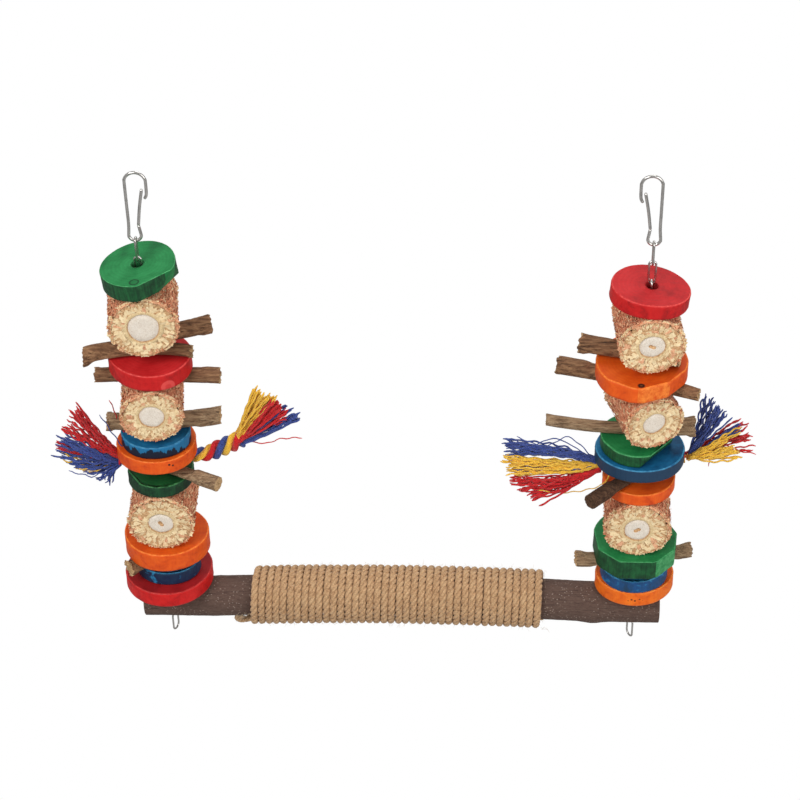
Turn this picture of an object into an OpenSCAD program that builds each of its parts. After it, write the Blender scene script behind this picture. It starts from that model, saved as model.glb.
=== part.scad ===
// Hanging bird swing: a bark perch wound with jute, carried by two chains threaded
// with dyed wood slices, corncob pieces, twigs and a short cotton rope, below two snap hooks.
// Millimetres. X runs along the perch, Y towards the back, Z up.
// The origin is midway between the seats of the two hooks, where the cage bars carry them.

/* [Perch] */
// Length of the branch
perch_len = 271; // [260:1:320]
// Radius of the branch over its bark
perch_r = 11; // [9:0.5:14]
// Rise of the branch's middle above its ends
perch_arch = 3; // [0:0.5:6]
// Distance from each end of the branch to its chain
hole_inset = 14.1; // [12:0.1:20]

/* [Jute winding] */
// Length of the branch that is wound
wrap_len = 157; // [155:1:170]
// Thickness of the twine on the branch
twine_t = 3.8; // [3:0.1:5]
// Width of one flattened turn
twine_w = 5.7; // [4:0.1:5.8]
// Number of turns in the winding
wrap_turns = 24; // [12:1:24]

/* [Hooks] */
// Wire of the snap hooks
hook_wire = 1.5; // [1.2:0.1:1.7]
// Radius of the hook's arch to the middle of its wire
arch_r = 4.95; // [4.5:0.05:6]
// Radius of the lower eye to the middle of its wire
eye_r = 2.95; // [2.8:0.05:3.4]
// Length from the arch's centre to the eye's lowest wire
hook_len = 32.4; // [30:0.1:40]
// Gap in the bent wire where the gate flexes
gate_gap = 0.4; // [0.3:0.05:0.6]

/* [Chain] */
// Wire of the chain links
link_wire = 1.15; // [1:0.05:1.25]
// Outer length of a link
link_len = 13.4; // [12:0.1:16]
// Outer width of a link
link_w = 4.4; // [4.2:0.1:4.6]
// Play between linked wires
link_slack = 0.1; // [0.05:0.05:0.3]
// Bare chain between the left stack and its hook
bare_chain = 13.7; // [12:0.1:24]
// Wire of the lower rings
ring_wire = 1; // [0.8:0.05:1.2]
// Outer width of a lower ring
ring_w = 6; // [5.6:0.1:8]
// Outer length of a lower ring
ring_len = 13; // [11:0.5:16]

/* [Wood slices] */
// Radius of the widest wood slice
slice_r = 23.5; // [21:0.5:26]
// Thickness of a usual wood slice
slice_t = 9; // [8:0.5:11]
// Hole through every threaded piece
bore_d = 5.2; // [5.2:0.1:6]

/* [Corncobs] */
// Radius of the widest corncob
cob_r = 17; // [15:0.5:19]
// Length of a corncob piece
cob_len = 32; // [28:1:38]
// Radius of the white pith in a corncob
pith_r = 7.2; // [6:0.2:9]
// Hollow of the pith below the sawn face
pith_hollow = 0.6; // [0.4:0.1:1.5]

/* [Twigs] */
// Radius of the thickest twig
twig_r = 5.4; // [4:0.2:6]
// Height of a twig where it is shaved flat at its hole
twig_flat = 7; // [5:0.5:8]
// How deep a twig sinks into the soft cob next to it
cob_bite = 4.2; // [3:0.1:5]

/* [Rope] */
// Diameter of the three strand cotton rope
rope_d = 9; // [8:0.5:10]
// Height of the rope where the slices squeeze it
rope_flat = 5.5; // [5:0.5:7]

/* [Fits] */
// Running gap between neighbouring pieces
gap = 0.3; // [0.2:0.05:0.4]
// Furthest that the swing sways sideways, in degrees
sway_deg = 8; // [4:1:10]

/* [Hidden] */
$fn = 32;
overrun = 1;
LEFT = -1;
RIGHT = 1;

// Height that each threaded piece takes on its chain, from the perch up
twig_slot = twig_flat - cob_bite;
left_heights = [
  slice_t, slice_t * 0.89, twig_flat * 6 / 7, slice_t * 1.22, 2 * cob_r, slice_t * 0.78,
  twig_flat * 4 / 7, rope_flat, slice_t * 0.89, slice_t * 0.78, twig_slot, 2 * cob_r * 0.91,
  twig_slot, slice_t, twig_flat * 5 / 7, twig_slot, 2 * cob_r, slice_t
];
right_heights = [
  slice_t, slice_t * 0.89, twig_flat * 6 / 7, slice_t * 1.22, 2 * cob_r, slice_t * 0.78,
  twig_flat * 4 / 7, rope_flat, slice_t * 0.84, slice_t * 0.78, twig_slot, 2 * cob_r * 0.88,
  twig_slot, slice_t, twig_slot, 2 * cob_r * 0.94, slice_t * 0.89
];
function heights(side) = side == LEFT ? left_heights : right_heights;
function sum_to(list, n) = n <= 0 ? 0 : list[n - 1] + sum_to(list, n - 1);
// Height of the underside of piece n over the perch's axis
function seat(side, n) = perch_r + sum_to(heights(side), n) + (n + 1) * gap;

hole_x = perch_len / 2 - hole_inset;
stack_h = seat(LEFT, 17) + left_heights[17];
eye_h = stack_h + bare_chain;
eye_z = -(arch_r - hook_wire / 2 + hook_len);
perch_z = eye_z - eye_h;
function side_x(side) = side * hole_x;
function seat_z(side, n) = perch_z + seat(side, n);
function middle_z(side, n) = seat_z(side, n) + heights(side)[n] / 2;
function top_z(side, n) = seat_z(side, n) + heights(side)[n];

// The chain hangs from the hook's eye and flexes below its top link and in the lowest cob
link_core = link_len - link_wire;
top_flex_z = eye_z + (hook_wire + link_wire) / 2 + link_slack - link_core;
low_flex_z = middle_z(LEFT, 4);
longest_step = link_core - link_wire - link_slack;
upper_links = 2 * ceil((top_flex_z - low_flex_z) / longest_step / 2);
upper_step = (top_flex_z - low_flex_z) / upper_links;
ring_hang_z = perch_z - perch_r - ring_wire - link_wire;
lower_links = ceil((low_flex_z - ring_hang_z) / longest_step);
lower_step = (low_flex_z - ring_hang_z) / lower_links;

// A closed solid through rings of points, all with the same number of points
module skin(rings) {
  sides = len(rings[0]);
  last = len(rings) - 1;
  walls = [for (i = [0 : last - 1], j = [0 : sides - 1])
    let (a = i * sides + j, b = i * sides + (j + 1) % sides)
    each [[a, b + sides, b], [a, a + sides, b + sides]]];
  start_cap = [for (j = [1 : sides - 2]) [0, j, j + 1]];
  end_cap = [for (j = [1 : sides - 2]) last * sides * [1, 1, 1] + [0, j + 1, j]];
  polyhedron(points = [for (ring = rings) each ring], faces = concat(walls, start_cap, end_cap));
}

function unit(v) = v / norm(v);
function along(path, i) = unit(path[min(i + 1, len(path) - 1)] - path[max(i - 1, 0)]);
// An oval ring square to a direction, its wide way nearest to the way given
function oval(centre, direction, wide_way, wide, high, sides) =
  let (up = unit(cross(direction, wide_way)), out = cross(up, direction))
  [for (k = [0 : sides - 1]) centre + wide * cos(360 * k / sides) * out
    + high * sin(360 * k / sides) * up];

// Snap hook, seen from the front with its arch's centre at zero and its eye to the left
wire_sides = 10;
eye_x = -(arch_r - eye_r * 0.84);
neck = [eye_x + eye_r * 0.72, 0, eye_r * 2.88 - hook_len];
gate_tip = [arch_r * 0.56, 0, -arch_r * 0.83];
function hook_path() = concat(
  [[arch_r * 0.77, 0, -arch_r * 1.84], [arch_r * 0.97, 0, -arch_r * 1.35]],
  [for (a = [0 : 15 : 180]) [arch_r * cos(a), 0, arch_r * sin(a)]],
  [[-arch_r, 0, -hook_len * 0.4], [-arch_r, 0, -hook_len * 0.72]],
  [for (a = [185 : 18.5 : 370]) [eye_x, 0, eye_r - hook_len] + eye_r * [cos(a), 0, sin(a)]],
  [neck]
);
module wire_tube(path, wire) {
  skin([for (i = [0 : len(path) - 1])
    oval(path[i], along(path, i), [0, 1, 0], wire / 2, wire / 2, wire_sides)]);
}
module place_hook(side) {
  translate([side_x(side), 0, eye_z + hook_len])
    mirror([side == RIGHT ? 1 : 0, 0, 0])
      translate([-eye_x, 0, 0]) children();
}
module hook(side) {
  color("silver") place_hook(side) wire_tube(hook_path(), hook_wire);
}
module gate(side) {
  start = neck + gate_gap * unit(gate_tip - neck);
  color("silver") place_hook(side) wire_tube([start, (start + gate_tip) / 2, gate_tip], hook_wire);
}

// One oblong link in the plane of X and Z, centred on the origin
module oblong(length, width, wire) {
  bend_r = (width - wire) / 2;
  half = (length - width) / 2;
  for (end = [0, 180])
    rotate([0, end, 0]) translate([0, 0, half])
      rotate([90, 0, 0]) rotate_extrude(angle = 180) translate([bend_r, 0]) circle(d = wire);
  for (leg = [-bend_r, bend_r])
    translate([leg, 0, -half]) cylinder(d = wire, h = 2 * half);
}
// A link whose lower wire lies at height z, flat to the front or turned edge on
module link_at(side, z, turned) {
  translate([side_x(side), 0, z + link_core / 2])
    rotate([0, 0, turned ? 90 : 0]) oblong(link_len, link_w, link_wire);
}
module top_link(side) {
  color("silver") link_at(side, top_flex_z, true);
}
module upper_chain(side) {
  color("silver")
    for (i = [1 : upper_links]) link_at(side, top_flex_z - i * upper_step, i % 2 == 0);
}
module lower_chain(side) {
  color("silver")
    for (i = [1 : lower_links]) link_at(side, low_flex_z - i * lower_step, i % 2 == 0);
}
module ring(side, twist) {
  top = ring_hang_z + (ring_wire + link_wire) / 2 + 4 * link_slack;
  color("silver") translate([side_x(side), 0, top - (ring_len - ring_wire) / 2])
    rotate([0, 0, twist + (lower_links % 2 == 0 ? 0 : 90)]) oblong(ring_len, ring_w, ring_wire);
}

// Perch: a branch with a hole for each chain, arched and knobbly between its two stacks
perch_sides = 20;
perch_rings = 22;
bump_share = 0.03;
function bow(x) = max(0, 1 - pow(x / (hole_x - slice_r), 2));
function perch_rise(x) = perch_arch * bow(x);
function perch_radius(x) = perch_r * (1 + bump_share * sin(540 * x / perch_len + 40) * bow(x));
module perch() {
  color("saddlebrown") difference() {
    skin([for (i = [0 : perch_rings])
      let (x = perch_len * (i / perch_rings - 0.5), r = perch_radius(x))
      [for (k = [0 : perch_sides - 1])
        [x, 0, perch_z + perch_rise(x)] + r * [0, cos(360 * k / perch_sides), sin(360 * k / perch_sides)]]]);
    for (side = [LEFT, RIGHT])
      translate([side_x(side), 0, perch_z - 2 * perch_r]) cylinder(d = bore_d, h = 4 * perch_r);
  }
}

// Jute winding: one flattened tube wound round the branch, with straight ends
wrap_steps = 18;
wrap_sides = 6;
wrap_r = perch_r * (1 + bump_share) / cos(180 / wrap_steps) + gap + twine_t / 2;
wrap_pitch = (wrap_len - twine_w) / wrap_turns;
wrap_last = wrap_turns * wrap_steps;
function wrap_ring(i, slide) =
  let (
    a = 360 * i / wrap_steps,
    x = (i / wrap_last - 0.5) * wrap_turns * wrap_pitch,
    out = [0, -sin(a), -cos(a)],
    centre = [x, 0, perch_z + perch_rise(x)] + wrap_r * out + slide * [0, -cos(a), sin(a)]
  )
  [for (k = [0 : wrap_sides - 1])
    let (b = 360 * (k + 0.5) / wrap_sides)
    centre + [twine_w / 2 * cos(b) / cos(180 / wrap_sides), 0, 0] + twine_t / 2 * sin(b) * out];
module jute_wrap() {
  color("tan") skin(concat(
    [wrap_ring(0, -twine_t)],
    [for (i = [0 : wrap_last]) wrap_ring(i, 0)],
    [wrap_ring(wrap_last, twine_t)]
  ));
}
function turn_gap(i) = min([for (j = [-1 : 1], p = wrap_ring(i, 0), q = wrap_ring(i + wrap_steps + j, 0))
  norm(p - q)]);
least_gap = min([for (i = [0 : wrap_steps / 3 : wrap_last - wrap_steps - 1]) turn_gap(i)]);
echo("least gap between turns of the winding", least_gap);

// Slice outlines: radius, depth and wave shares, turn of the wave, hole shift shares, lean,
// then any flats hewn on the rim, each with its direction and its share of the radius
left_slice_shares = [
  [1, 0.96, 0.02, 20, 0.02, 0, 0], [0.72, 0.95, 0.02, 80, 0, 0, 0], [],
  [0.96, 0.97, 0.02, 140, 0, 0, 0], [], [0.74, 0.98, 0.03, 30, -0.04, 0, 0, [[215, 0.93]]], [], [],
  [0.87, 0.98, 0.02, 60, 0, 0, 0, [[310, 0.95]]], [0.76, 1, 0.02, 110, 0, 0, 0], [], [], [],
  [0.94, 0.92, 0.03, 200, -0.05, 0, 0], [], [], [],
  [0.85, 1, 0.03, 250, -0.02, 0, -6, [[308, 0.81], [332, 0.8]]]
];
right_slice_shares = [
  [0.9, 0.85, 0.02, 10, -0.04, -0.08, 0], [0.76, 0.95, 0.02, 130, 0, 0, 0], [],
  [0.96, 1, 0.01, 300, 0, 0, 0,
    [[187, 0.92], [228, 0.95], [270, 0.92], [316, 0.94], [352, 0.93], [25, 0.92]]], [],
  [0.8, 0.98, 0.02, 45, 0, 0, 0], [], [],
  [0.97, 0.96, 0.02, 70, 0.02, 0, 0],
  [0.78, 1, 0.01, 190, 0.14, 0, 0, [[215, 0.82], [330, 0.78]]], [], [], [],
  [1, 1, 0.02, 330, 0.1, 0, 0, [[240, 0.96], [293, 0.9], [320, 0.89]]], [], [],
  [0.83, 0.98, 0.03, 100, 0.03, 0, 6]
];
slice_points = 30;
function hewn(p, r, flats, i = 0) = i == len(flats) ? p :
  let (way = [cos(flats[i][0]), sin(flats[i][0])], over = max(0, p * way - r * flats[i][1]))
  hewn(p - over * way, r, flats, i + 1);
function slice_outline(r, deep_share, wave_share, turn, flats) = [for (k = [0 : slice_points - 1])
  let (
    a = 360 * k / slice_points,
    q = r * (1 + wave_share * (sin(2 * a + turn) + 0.6 * sin(3 * a - 2 * turn) - 1.6))
  )
  hewn([q * cos(a), deep_share * q * sin(a)], r, flats)];
module slice(side, n) {
  shares = side == LEFT ? left_slice_shares[n] : right_slice_shares[n];
  r = slice_r * shares[0];
  t = heights(side)[n];
  lean = shares[6];
  lift = slice_r * abs(sin(lean)) / 5;
  translate([side_x(side), 0, middle_z(side, n) + lift]) rotate([0, lean, 0]) difference() {
    translate([-r * shares[4], -r * shares[5], -t / 2])
      linear_extrude(t)
        polygon(slice_outline(r, shares[1], shares[2], shares[3], len(shares) > 7 ? shares[7] : []));
    translate([0, 0, -t]) cylinder(d = bore_d + t * abs(tan(lean)), h = 2 * t);
  }
}

// Corncob: a ridged cylinder lying towards the viewer, drilled across its middle.
// below and above are the yaws of the twigs that sink into it there
cob_ridges = 13;
ridge_share = 0.05;
function cob_outline(r) = [for (k = [0 : 4 * cob_ridges - 1])
  r * (1 - ridge_share * [0, 0.3, 1, 0.3][k % 4])
    * [cos(90 * k / cob_ridges), sin(90 * k / cob_ridges)]];
module notch(yaw, way, r) {
  cut = cob_bite + overrun;
  rotate([0, 0, yaw]) translate([0, 0, way * (r + overrun - cut / 2)])
    cube([4 * r, 2 * (twig_r + gap), cut], center = true);
}
module cob(side, n, yaw, below, above, flare) {
  r = heights(side)[n] / 2;
  color("burlywood") translate([side_x(side), 0, middle_z(side, n)]) difference() {
    rotate([90, 0, yaw]) translate([0, 0, -cob_len / 2]) difference() {
      linear_extrude(cob_len) polygon(cob_outline(r));
      for (end = [0, cob_len])
        translate([0, 0, end - pith_hollow]) cylinder(r = pith_r, h = 2 * pith_hollow);
    }
    translate([0, 0, -2 * r]) cylinder(d = bore_d, h = 4 * r);
    if (flare)
      translate([0, 0, -r - overrun]) cylinder(
        r1 = bore_d / 2 + (r + overrun) * tan(sway_deg), r2 = bore_d / 2, h = r + overrun);
    if (is_num(below)) notch(below, -1, r);
    if (is_num(above)) notch(above, 1, r);
  }
}

// Twig: a bent stick across its chain, shaved flat where it is drilled. Its reach, bend and lift
// are in twig radii, and rest is 1 where it lies on the piece below it, -1 where it meets the one
// above. It is flat as far as the shares of the slice radius given in low and high, for its
// underside and its top, each on the left and the right
twig_sides = 12;
twig_steps = 24;
function twig_thick(u, thick_share) = twig_r * (u < 0.5
  ? thick_share[0] + (thick_share[1] - thick_share[0]) * 2 * u
  : thick_share[1] + (thick_share[2] - thick_share[1]) * (2 * u - 1));
function ease(t) = t <= 0 ? 0 : t >= 1 ? 1 : t * t * (3 - 2 * t);
function swell(x, shares, reach, step) =
  let (side = x < 0 ? 0 : 1, start = slice_r * shares[side] + step)
  ease((abs(x) - start) / max(step, min(0.8 * twig_r, 0.7 * (twig_r * reach[side] - start))));
module twig(side, n, rest, reach, thick_share, yaw, bend, lift, low, high) {
  span = twig_r * (reach[0] + reach[1]);
  slot = heights(side)[n];
  half = (slot == twig_slot ? twig_flat : slot) / 2;
  z = rest > 0 ? seat_z(side, n) + half : top_z(side, n) - half;
  step = span / twig_steps;
  color("peru") translate([side_x(side), 0, z]) difference() {
    rotate([0, 0, yaw]) skin([for (i = [0 : twig_steps])
      let (
        x = i * step - twig_r * reach[0],
        r = twig_thick(i / twig_steps, thick_share),
        under = half + (r - half) * swell(x, low, reach, step),
        over = half + (r - half) * swell(x, high, reach, step),
        y = twig_r * bend * pow(2 * x / span, 2),
        rise = twig_r * lift * sign(x) * max(0, abs(x) - slice_r * max(low)) / span,
        slant = (i == 0 ? -1 : i == twig_steps ? 1 : 0) * 0.25 * r
      )
      [for (k = [0 : twig_sides - 1])
        let (a = 360 * k / twig_sides)
        [x + slant * cos(a), y + r * cos(a), rise + (sin(a) > 0 ? over : under) * sin(a)]]]);
    translate([0, 0, -4 * twig_r]) cylinder(d = bore_d, h = 8 * twig_r);
  }
}

// Ropes: routes from the outer to the inner end, from the middle of the rope's own slot
rope_sides = 12;
left_rope_points = [[-20, -2, 0], [-14, -1, 0], [-8, 0, 0], [-2, 0, 0], [4, 0, 0], [10, 1, 0],
  [16, 2, 0], [22, 2, 0], [27, 3, 1], [32, 4, 3], [37, 5, 5], [42, 5, 8]];
left_outer_points = [[-20, -2, 0], [-26, -3, 0], [-31, -4, 2], [-37, -4, 5], [-44, -5, 8], [-50, -5, 11]];
left_inner_points = [[42, 5, 8], [47, 5, 11], [52, 5, 17], [58, 4, 21], [66, 4, 25]];
right_rope_points = [[22, 6, 0], [16, 5, 0], [10, 3, 0], [4, 1, 0], [-2, 0, 0], [-8, 0, 0],
  [-14, -1, 0], [-20, -2, 0]];
right_outer_points = [[22, 6, 0], [28, 7, 0], [33, 7, 4], [38, 6, 10], [44, 5, 16], [49, 4, 20]];
right_inner_points = [[-20, -2, 0], [-26, -3, 0], [-31, -4, -1], [-42, -4, -1], [-54, -5, -1],
  [-63, -5, -1]];
rope_n = 7;
module rope_tube(side, points) {
  squeezed = slice_r + gap;
  color("gold") difference() {
    translate([side_x(side), 0, middle_z(side, rope_n)])
      skin([for (i = [0 : len(points) - 1])
        let (u = min(1, max(0, (abs(points[i][0]) - squeezed) / rope_d)))
        oval(points[i], along(points, i), [0, 1, 0],
          rope_d / 2 * (1.2 - 0.2 * u), rope_flat / 2 + (rope_d - rope_flat) / 2 * u, rope_sides)]);
    translate([side_x(side), 0, middle_z(side, rope_n) - rope_d]) cylinder(d = bore_d, h = 2 * rope_d);
  }
}
// A frayed end: half its width and half its height at each point, as shares of the rope
module rope_end(side, points, wide_share, high_share) {
  color("crimson") translate([side_x(side), 0, middle_z(side, rope_n)])
    skin([for (i = [0 : len(points) - 1])
      oval(points[i], along(points, i), [0, 1, 0],
        rope_d * wide_share[i], rope_d * high_share[i], rope_sides)]);
}

module left_hook() { hook(LEFT); }
module left_gate() { gate(LEFT); }
module left_top_link() { top_link(LEFT); }
module left_chain() { upper_chain(LEFT); }
module left_lower_chain() { lower_chain(LEFT); }
module left_ring() { ring(LEFT, -24); }
module right_hook() { hook(RIGHT); }
module right_gate() { gate(RIGHT); }
module right_top_link() { top_link(RIGHT); }
module right_chain() { upper_chain(RIGHT); }
module right_lower_chain() { lower_chain(RIGHT); }
module right_ring() { ring(RIGHT, 30); }

module left_base_red_slice() { color("crimson") slice(LEFT, 0); }
module left_base_blue_slice() { color("steelblue") slice(LEFT, 1); }
module left_base_twig() {
  twig(LEFT, 2, 1, [4.7, 2.2], [0.9, 0.8, 0.7], 38, 0, 0, [0.75, 0.75], [0.98, 0.98]);
}
module left_low_orange_slice() { color("darkorange") slice(LEFT, 3); }
module left_low_cob() { cob(LEFT, 4, 2, undef, undef, true); }
module left_low_green_slice() { color("seagreen") slice(LEFT, 5); }
module left_rope_twig() {
  twig(LEFT, 6, 1, [1.4, 6.6], [0.7, 0.75, 0.75], -26, 0, 0, [0.8, 0.8], [0.9, 0.75]);
}
module left_rope() { rope_tube(LEFT, left_rope_points); }
module left_mid_orange_slice() { color("darkorange") slice(LEFT, 8); }
module left_mid_blue_slice() { color("steelblue") slice(LEFT, 9); }
module left_mid_twig() {
  twig(LEFT, 10, 1, [4.7, 6.3], [0.95, 0.9, 0.9], 5, 0.5, 0, [0.78, 0.78], [0.45, 0.45]);
}
module left_mid_cob() { cob(LEFT, 11, 6, 5, 1, false); }
module left_upper_twig() {
  twig(LEFT, 12, -1, [5.2, 6.7], [0.75, 0.8, 0.8], 1, -0.2, 0, [0.45, 0.45], [1, 1]);
}
module left_upper_red_slice() { color("crimson") slice(LEFT, 13); }
module left_front_twig() { twig(LEFT, 14, 1, [5.8, 4.4], [1, 0.9, 0.8], 3, -0.9, 0, [1, 1], [0.45, 1]); }
module left_rear_twig() {
  twig(LEFT, 15, 1, [1.5, 6.1], [0.9, 0.9, 0.95], 20, 0, 0.6, [1, 1], [0.45, 0.45]);
}
module left_top_cob() { cob(LEFT, 16, 8, 20, undef, false); }
module left_top_green_slice() { color("seagreen") slice(LEFT, 17); }
module left_rope_outer_end() {
  rope_end(LEFT, left_outer_points, [0.5, 0.6, 0.8, 0.9, 0.9, 0.6], [0.29, 0.36, 0.8, 1.3, 1.8, 1.7]);
}
module left_rope_inner_end() {
  rope_end(LEFT, left_inner_points, [0.5, 0.6, 0.7, 0.7, 0.5], [0.5, 0.8, 1.2, 1.6, 1.7]);
}

module right_base_orange_slice() { color("darkorange") slice(RIGHT, 0); }
module right_base_blue_slice() { color("steelblue") slice(RIGHT, 1); }
module right_base_twig() {
  twig(RIGHT, 2, 1, [5.8, 5.8], [0.85, 0.8, 0.8], 8, 0.4, 0, [0.78, 0.78], [0.97, 0.97]);
}
module right_low_green_slice() { color("seagreen") slice(RIGHT, 3); }
module right_low_cob() { cob(RIGHT, 4, -2, undef, undef, true); }
module right_low_orange_slice() { color("darkorange") slice(RIGHT, 5); }
module right_rope_twig() {
  twig(RIGHT, 6, 1, [6.8, 1.5], [0.75, 0.75, 0.7], 45, 0, 0, [0.82, 0.82], [0.68, 0.68]);
}
module right_rope() { rope_tube(RIGHT, right_rope_points); }
module right_mid_blue_slice() { color("steelblue") slice(RIGHT, 8); }
module right_mid_green_slice() { color("seagreen") slice(RIGHT, 9); }
module right_mid_twig() {
  twig(RIGHT, 10, 1, [8.9, 5], [0.6, 0.6, 1.05], 0, 0.7, 0, [0.86, 0.86], [0.45, 0.45]);
}
module right_mid_cob() { cob(RIGHT, 11, 17, 0, -20, false); }
module right_upper_twig() {
  twig(RIGHT, 12, -1, [8.4, 5.3], [0.9, 0.85, 0.6], -20, -0.3, 0, [0.45, 0.45], [1.1, 1.1]);
}
module right_upper_orange_slice() { color("darkorange") slice(RIGHT, 13); }
module right_top_twig() {
  twig(RIGHT, 14, 1, [6.4, 3.3], [1, 0.9, 0.85], -14, 0, -0.5, [1.1, 1.1], [0.45, 0.45]);
}
module right_top_cob() { cob(RIGHT, 15, 4, -14, undef, false); }
module right_top_red_slice() { color("crimson") slice(RIGHT, 16); }
module right_rope_outer_end() {
  rope_end(RIGHT, right_outer_points, [0.5, 0.6, 0.7, 0.8, 0.8, 0.6], [0.29, 0.36, 0.6, 1.1, 1.7, 2]);
}
module right_rope_inner_end() {
  rope_end(RIGHT, right_inner_points, [0.5, 0.7, 0.9, 1, 1, 0.7], [0.29, 0.36, 0.8, 1.4, 1.6, 1.6]);
}

left_hook();
left_gate();
left_top_link();
left_chain();
left_lower_chain();
left_ring();
right_hook();
right_gate();
right_top_link();
right_chain();
right_lower_chain();
right_ring();
perch();
jute_wrap();
left_base_red_slice();
left_base_blue_slice();
left_base_twig();
left_low_orange_slice();
left_low_cob();
left_low_green_slice();
left_rope_twig();
left_rope();
left_mid_orange_slice();
left_mid_blue_slice();
left_mid_twig();
left_mid_cob();
left_upper_twig();
left_upper_red_slice();
left_front_twig();
left_rear_twig();
left_top_cob();
left_top_green_slice();
left_rope_outer_end();
left_rope_inner_end();
right_base_orange_slice();
right_base_blue_slice();
right_base_twig();
right_low_green_slice();
right_low_cob();
right_low_orange_slice();
right_rope_twig();
right_rope();
right_mid_blue_slice();
right_mid_green_slice();
right_mid_twig();
right_mid_cob();
right_upper_twig();
right_upper_orange_slice();
right_top_twig();
right_top_cob();
right_top_red_slice();
right_rope_outer_end();
right_rope_inner_end();
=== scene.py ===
import math
import random

import bmesh
import bpy
import numpy as np
from mathutils import Matrix, Vector, noise


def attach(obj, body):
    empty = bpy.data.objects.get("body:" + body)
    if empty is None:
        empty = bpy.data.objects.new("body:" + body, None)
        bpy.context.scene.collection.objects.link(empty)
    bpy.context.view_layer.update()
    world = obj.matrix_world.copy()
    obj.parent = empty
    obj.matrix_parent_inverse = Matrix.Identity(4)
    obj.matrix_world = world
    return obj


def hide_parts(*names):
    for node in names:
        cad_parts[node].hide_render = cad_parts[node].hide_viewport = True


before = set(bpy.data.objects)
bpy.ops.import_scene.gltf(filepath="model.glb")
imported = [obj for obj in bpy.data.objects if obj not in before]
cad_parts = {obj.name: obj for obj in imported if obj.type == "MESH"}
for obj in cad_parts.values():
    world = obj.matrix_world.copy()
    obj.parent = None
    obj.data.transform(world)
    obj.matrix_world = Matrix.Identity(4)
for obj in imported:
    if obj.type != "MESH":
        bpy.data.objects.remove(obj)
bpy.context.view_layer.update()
scene = bpy.context.scene
rng = random.Random(7)

# Sizes that repeat part.scad, in millimetres
GAP = 0.3
PERCH_LEN = 271.0
PERCH_R = 11.0
PERCH_ARCH = 3.0
PERCH_Z = -262.58
HOLE_INSET = 14.1
HOLE_X = PERCH_LEN / 2 - HOLE_INSET
BORE_R = 2.6
SLICE_R = 23.5
SLICE_T = 9.0
COB_R = 17.0
COB_LEN = 32.0
COB_BITE = 4.2
TWIG_R = 5.4
TWIG_FLAT = 7.0
TWIG_SLOT = TWIG_FLAT - COB_BITE
ROPE_FLAT = 5.5
EYE_Z = -36.6
THIN, USUAL, THICK = 0.78 * SLICE_T, 0.89 * SLICE_T, 1.22 * SLICE_T

LEFT, RIGHT = "left", "right"

# Heights of the pieces of each stack, from the perch upwards
HEIGHTS = {
    LEFT: [SLICE_T, USUAL, 6 / 7 * TWIG_FLAT, THICK, 2 * COB_R, THIN, 4 / 7 * TWIG_FLAT, ROPE_FLAT,
           USUAL, THIN, TWIG_SLOT, 0.91 * 2 * COB_R, TWIG_SLOT, SLICE_T, 5 / 7 * TWIG_FLAT,
           TWIG_SLOT, 2 * COB_R, SLICE_T],
    RIGHT: [SLICE_T, USUAL, 6 / 7 * TWIG_FLAT, THICK, 2 * COB_R, THIN, 4 / 7 * TWIG_FLAT, ROPE_FLAT,
            0.84 * SLICE_T, THIN, TWIG_SLOT, 0.88 * 2 * COB_R, TWIG_SLOT, SLICE_T, TWIG_SLOT,
            0.94 * 2 * COB_R, USUAL],
}
SIDE_X = {LEFT: -HOLE_X, RIGHT: HOLE_X}


def seat(side, n):
    """Where the underside of a stack's piece n lies."""
    return PERCH_Z + PERCH_R + sum(HEIGHTS[side][:n]) + (n + 1) * GAP


def middle(side, n):
    return seat(side, n) + HEIGHTS[side][n] / 2


# Camera, fitted to the photograph
PITCH = math.radians(37.7)
YAW = math.radians(3.0)
ROLL = math.radians(-1.18)
CAMERA_AT = (0.0472, -0.8715, 0.5448)
LENS = 100.6
cam_data = bpy.data.cameras.new("camera")
cam_data.sensor_width = 36
cam_data.lens = LENS
cam_data.clip_start = 0.05
cam_data.clip_end = 20
camera = bpy.data.objects.new("camera", cam_data)
scene.collection.objects.link(camera)
aim = Matrix.Rotation(YAW, 4, "Z") @ Matrix.Rotation(math.pi / 2 - PITCH, 4, "X")
camera.matrix_world = Matrix.Translation(CAMERA_AT) @ aim @ Matrix.Rotation(ROLL, 4, "Z")
scene.camera = camera


# Small tools
def rgb(*parts):
    """A colour given from 0 to 255 as the linear one that a shader takes."""
    shares = [part / 255 for part in parts]
    return (*(c / 12.92 if c <= 0.04045 else ((c + 0.055) / 1.055) ** 2.4 for c in shares), 1.0)


def rgbs(*colours):
    return [rgb(*colour) for colour in colours]


def dim(colour, share):
    return tuple(share * v for v in colour[:3]) + (1,)


def fbm(p, scale, octaves=3):
    """Smooth noise with finer noise on it, about -1 to 1."""
    value, weight, total = 0.0, 1.0, 0.0
    q = Vector(p) * scale
    for _ in range(octaves):
        value += weight * noise.noise(q)
        total += weight
        weight *= 0.5
        q = q * 2.03 + Vector((7.1, 3.3, 5.7))
    return value / total


def ease(t):
    t = min(1.0, max(0.0, t))
    return t * t * (3 - 2 * t)


def across(u, v, t):
    """The direction at angle t between two directions."""
    return math.cos(t) * u + math.sin(t) * v


def unit(v):
    return v / np.linalg.norm(v)


def clean(mesh, join=False):
    """Turns all faces outwards, and joins the points that meet if asked."""
    bm = bmesh.new()
    bm.from_mesh(mesh)
    if join:
        bmesh.ops.remove_doubles(bm, verts=bm.verts, dist=0.00001)
    bmesh.ops.recalc_face_normals(bm, faces=bm.faces)
    bm.to_mesh(mesh)
    bm.free()


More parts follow.
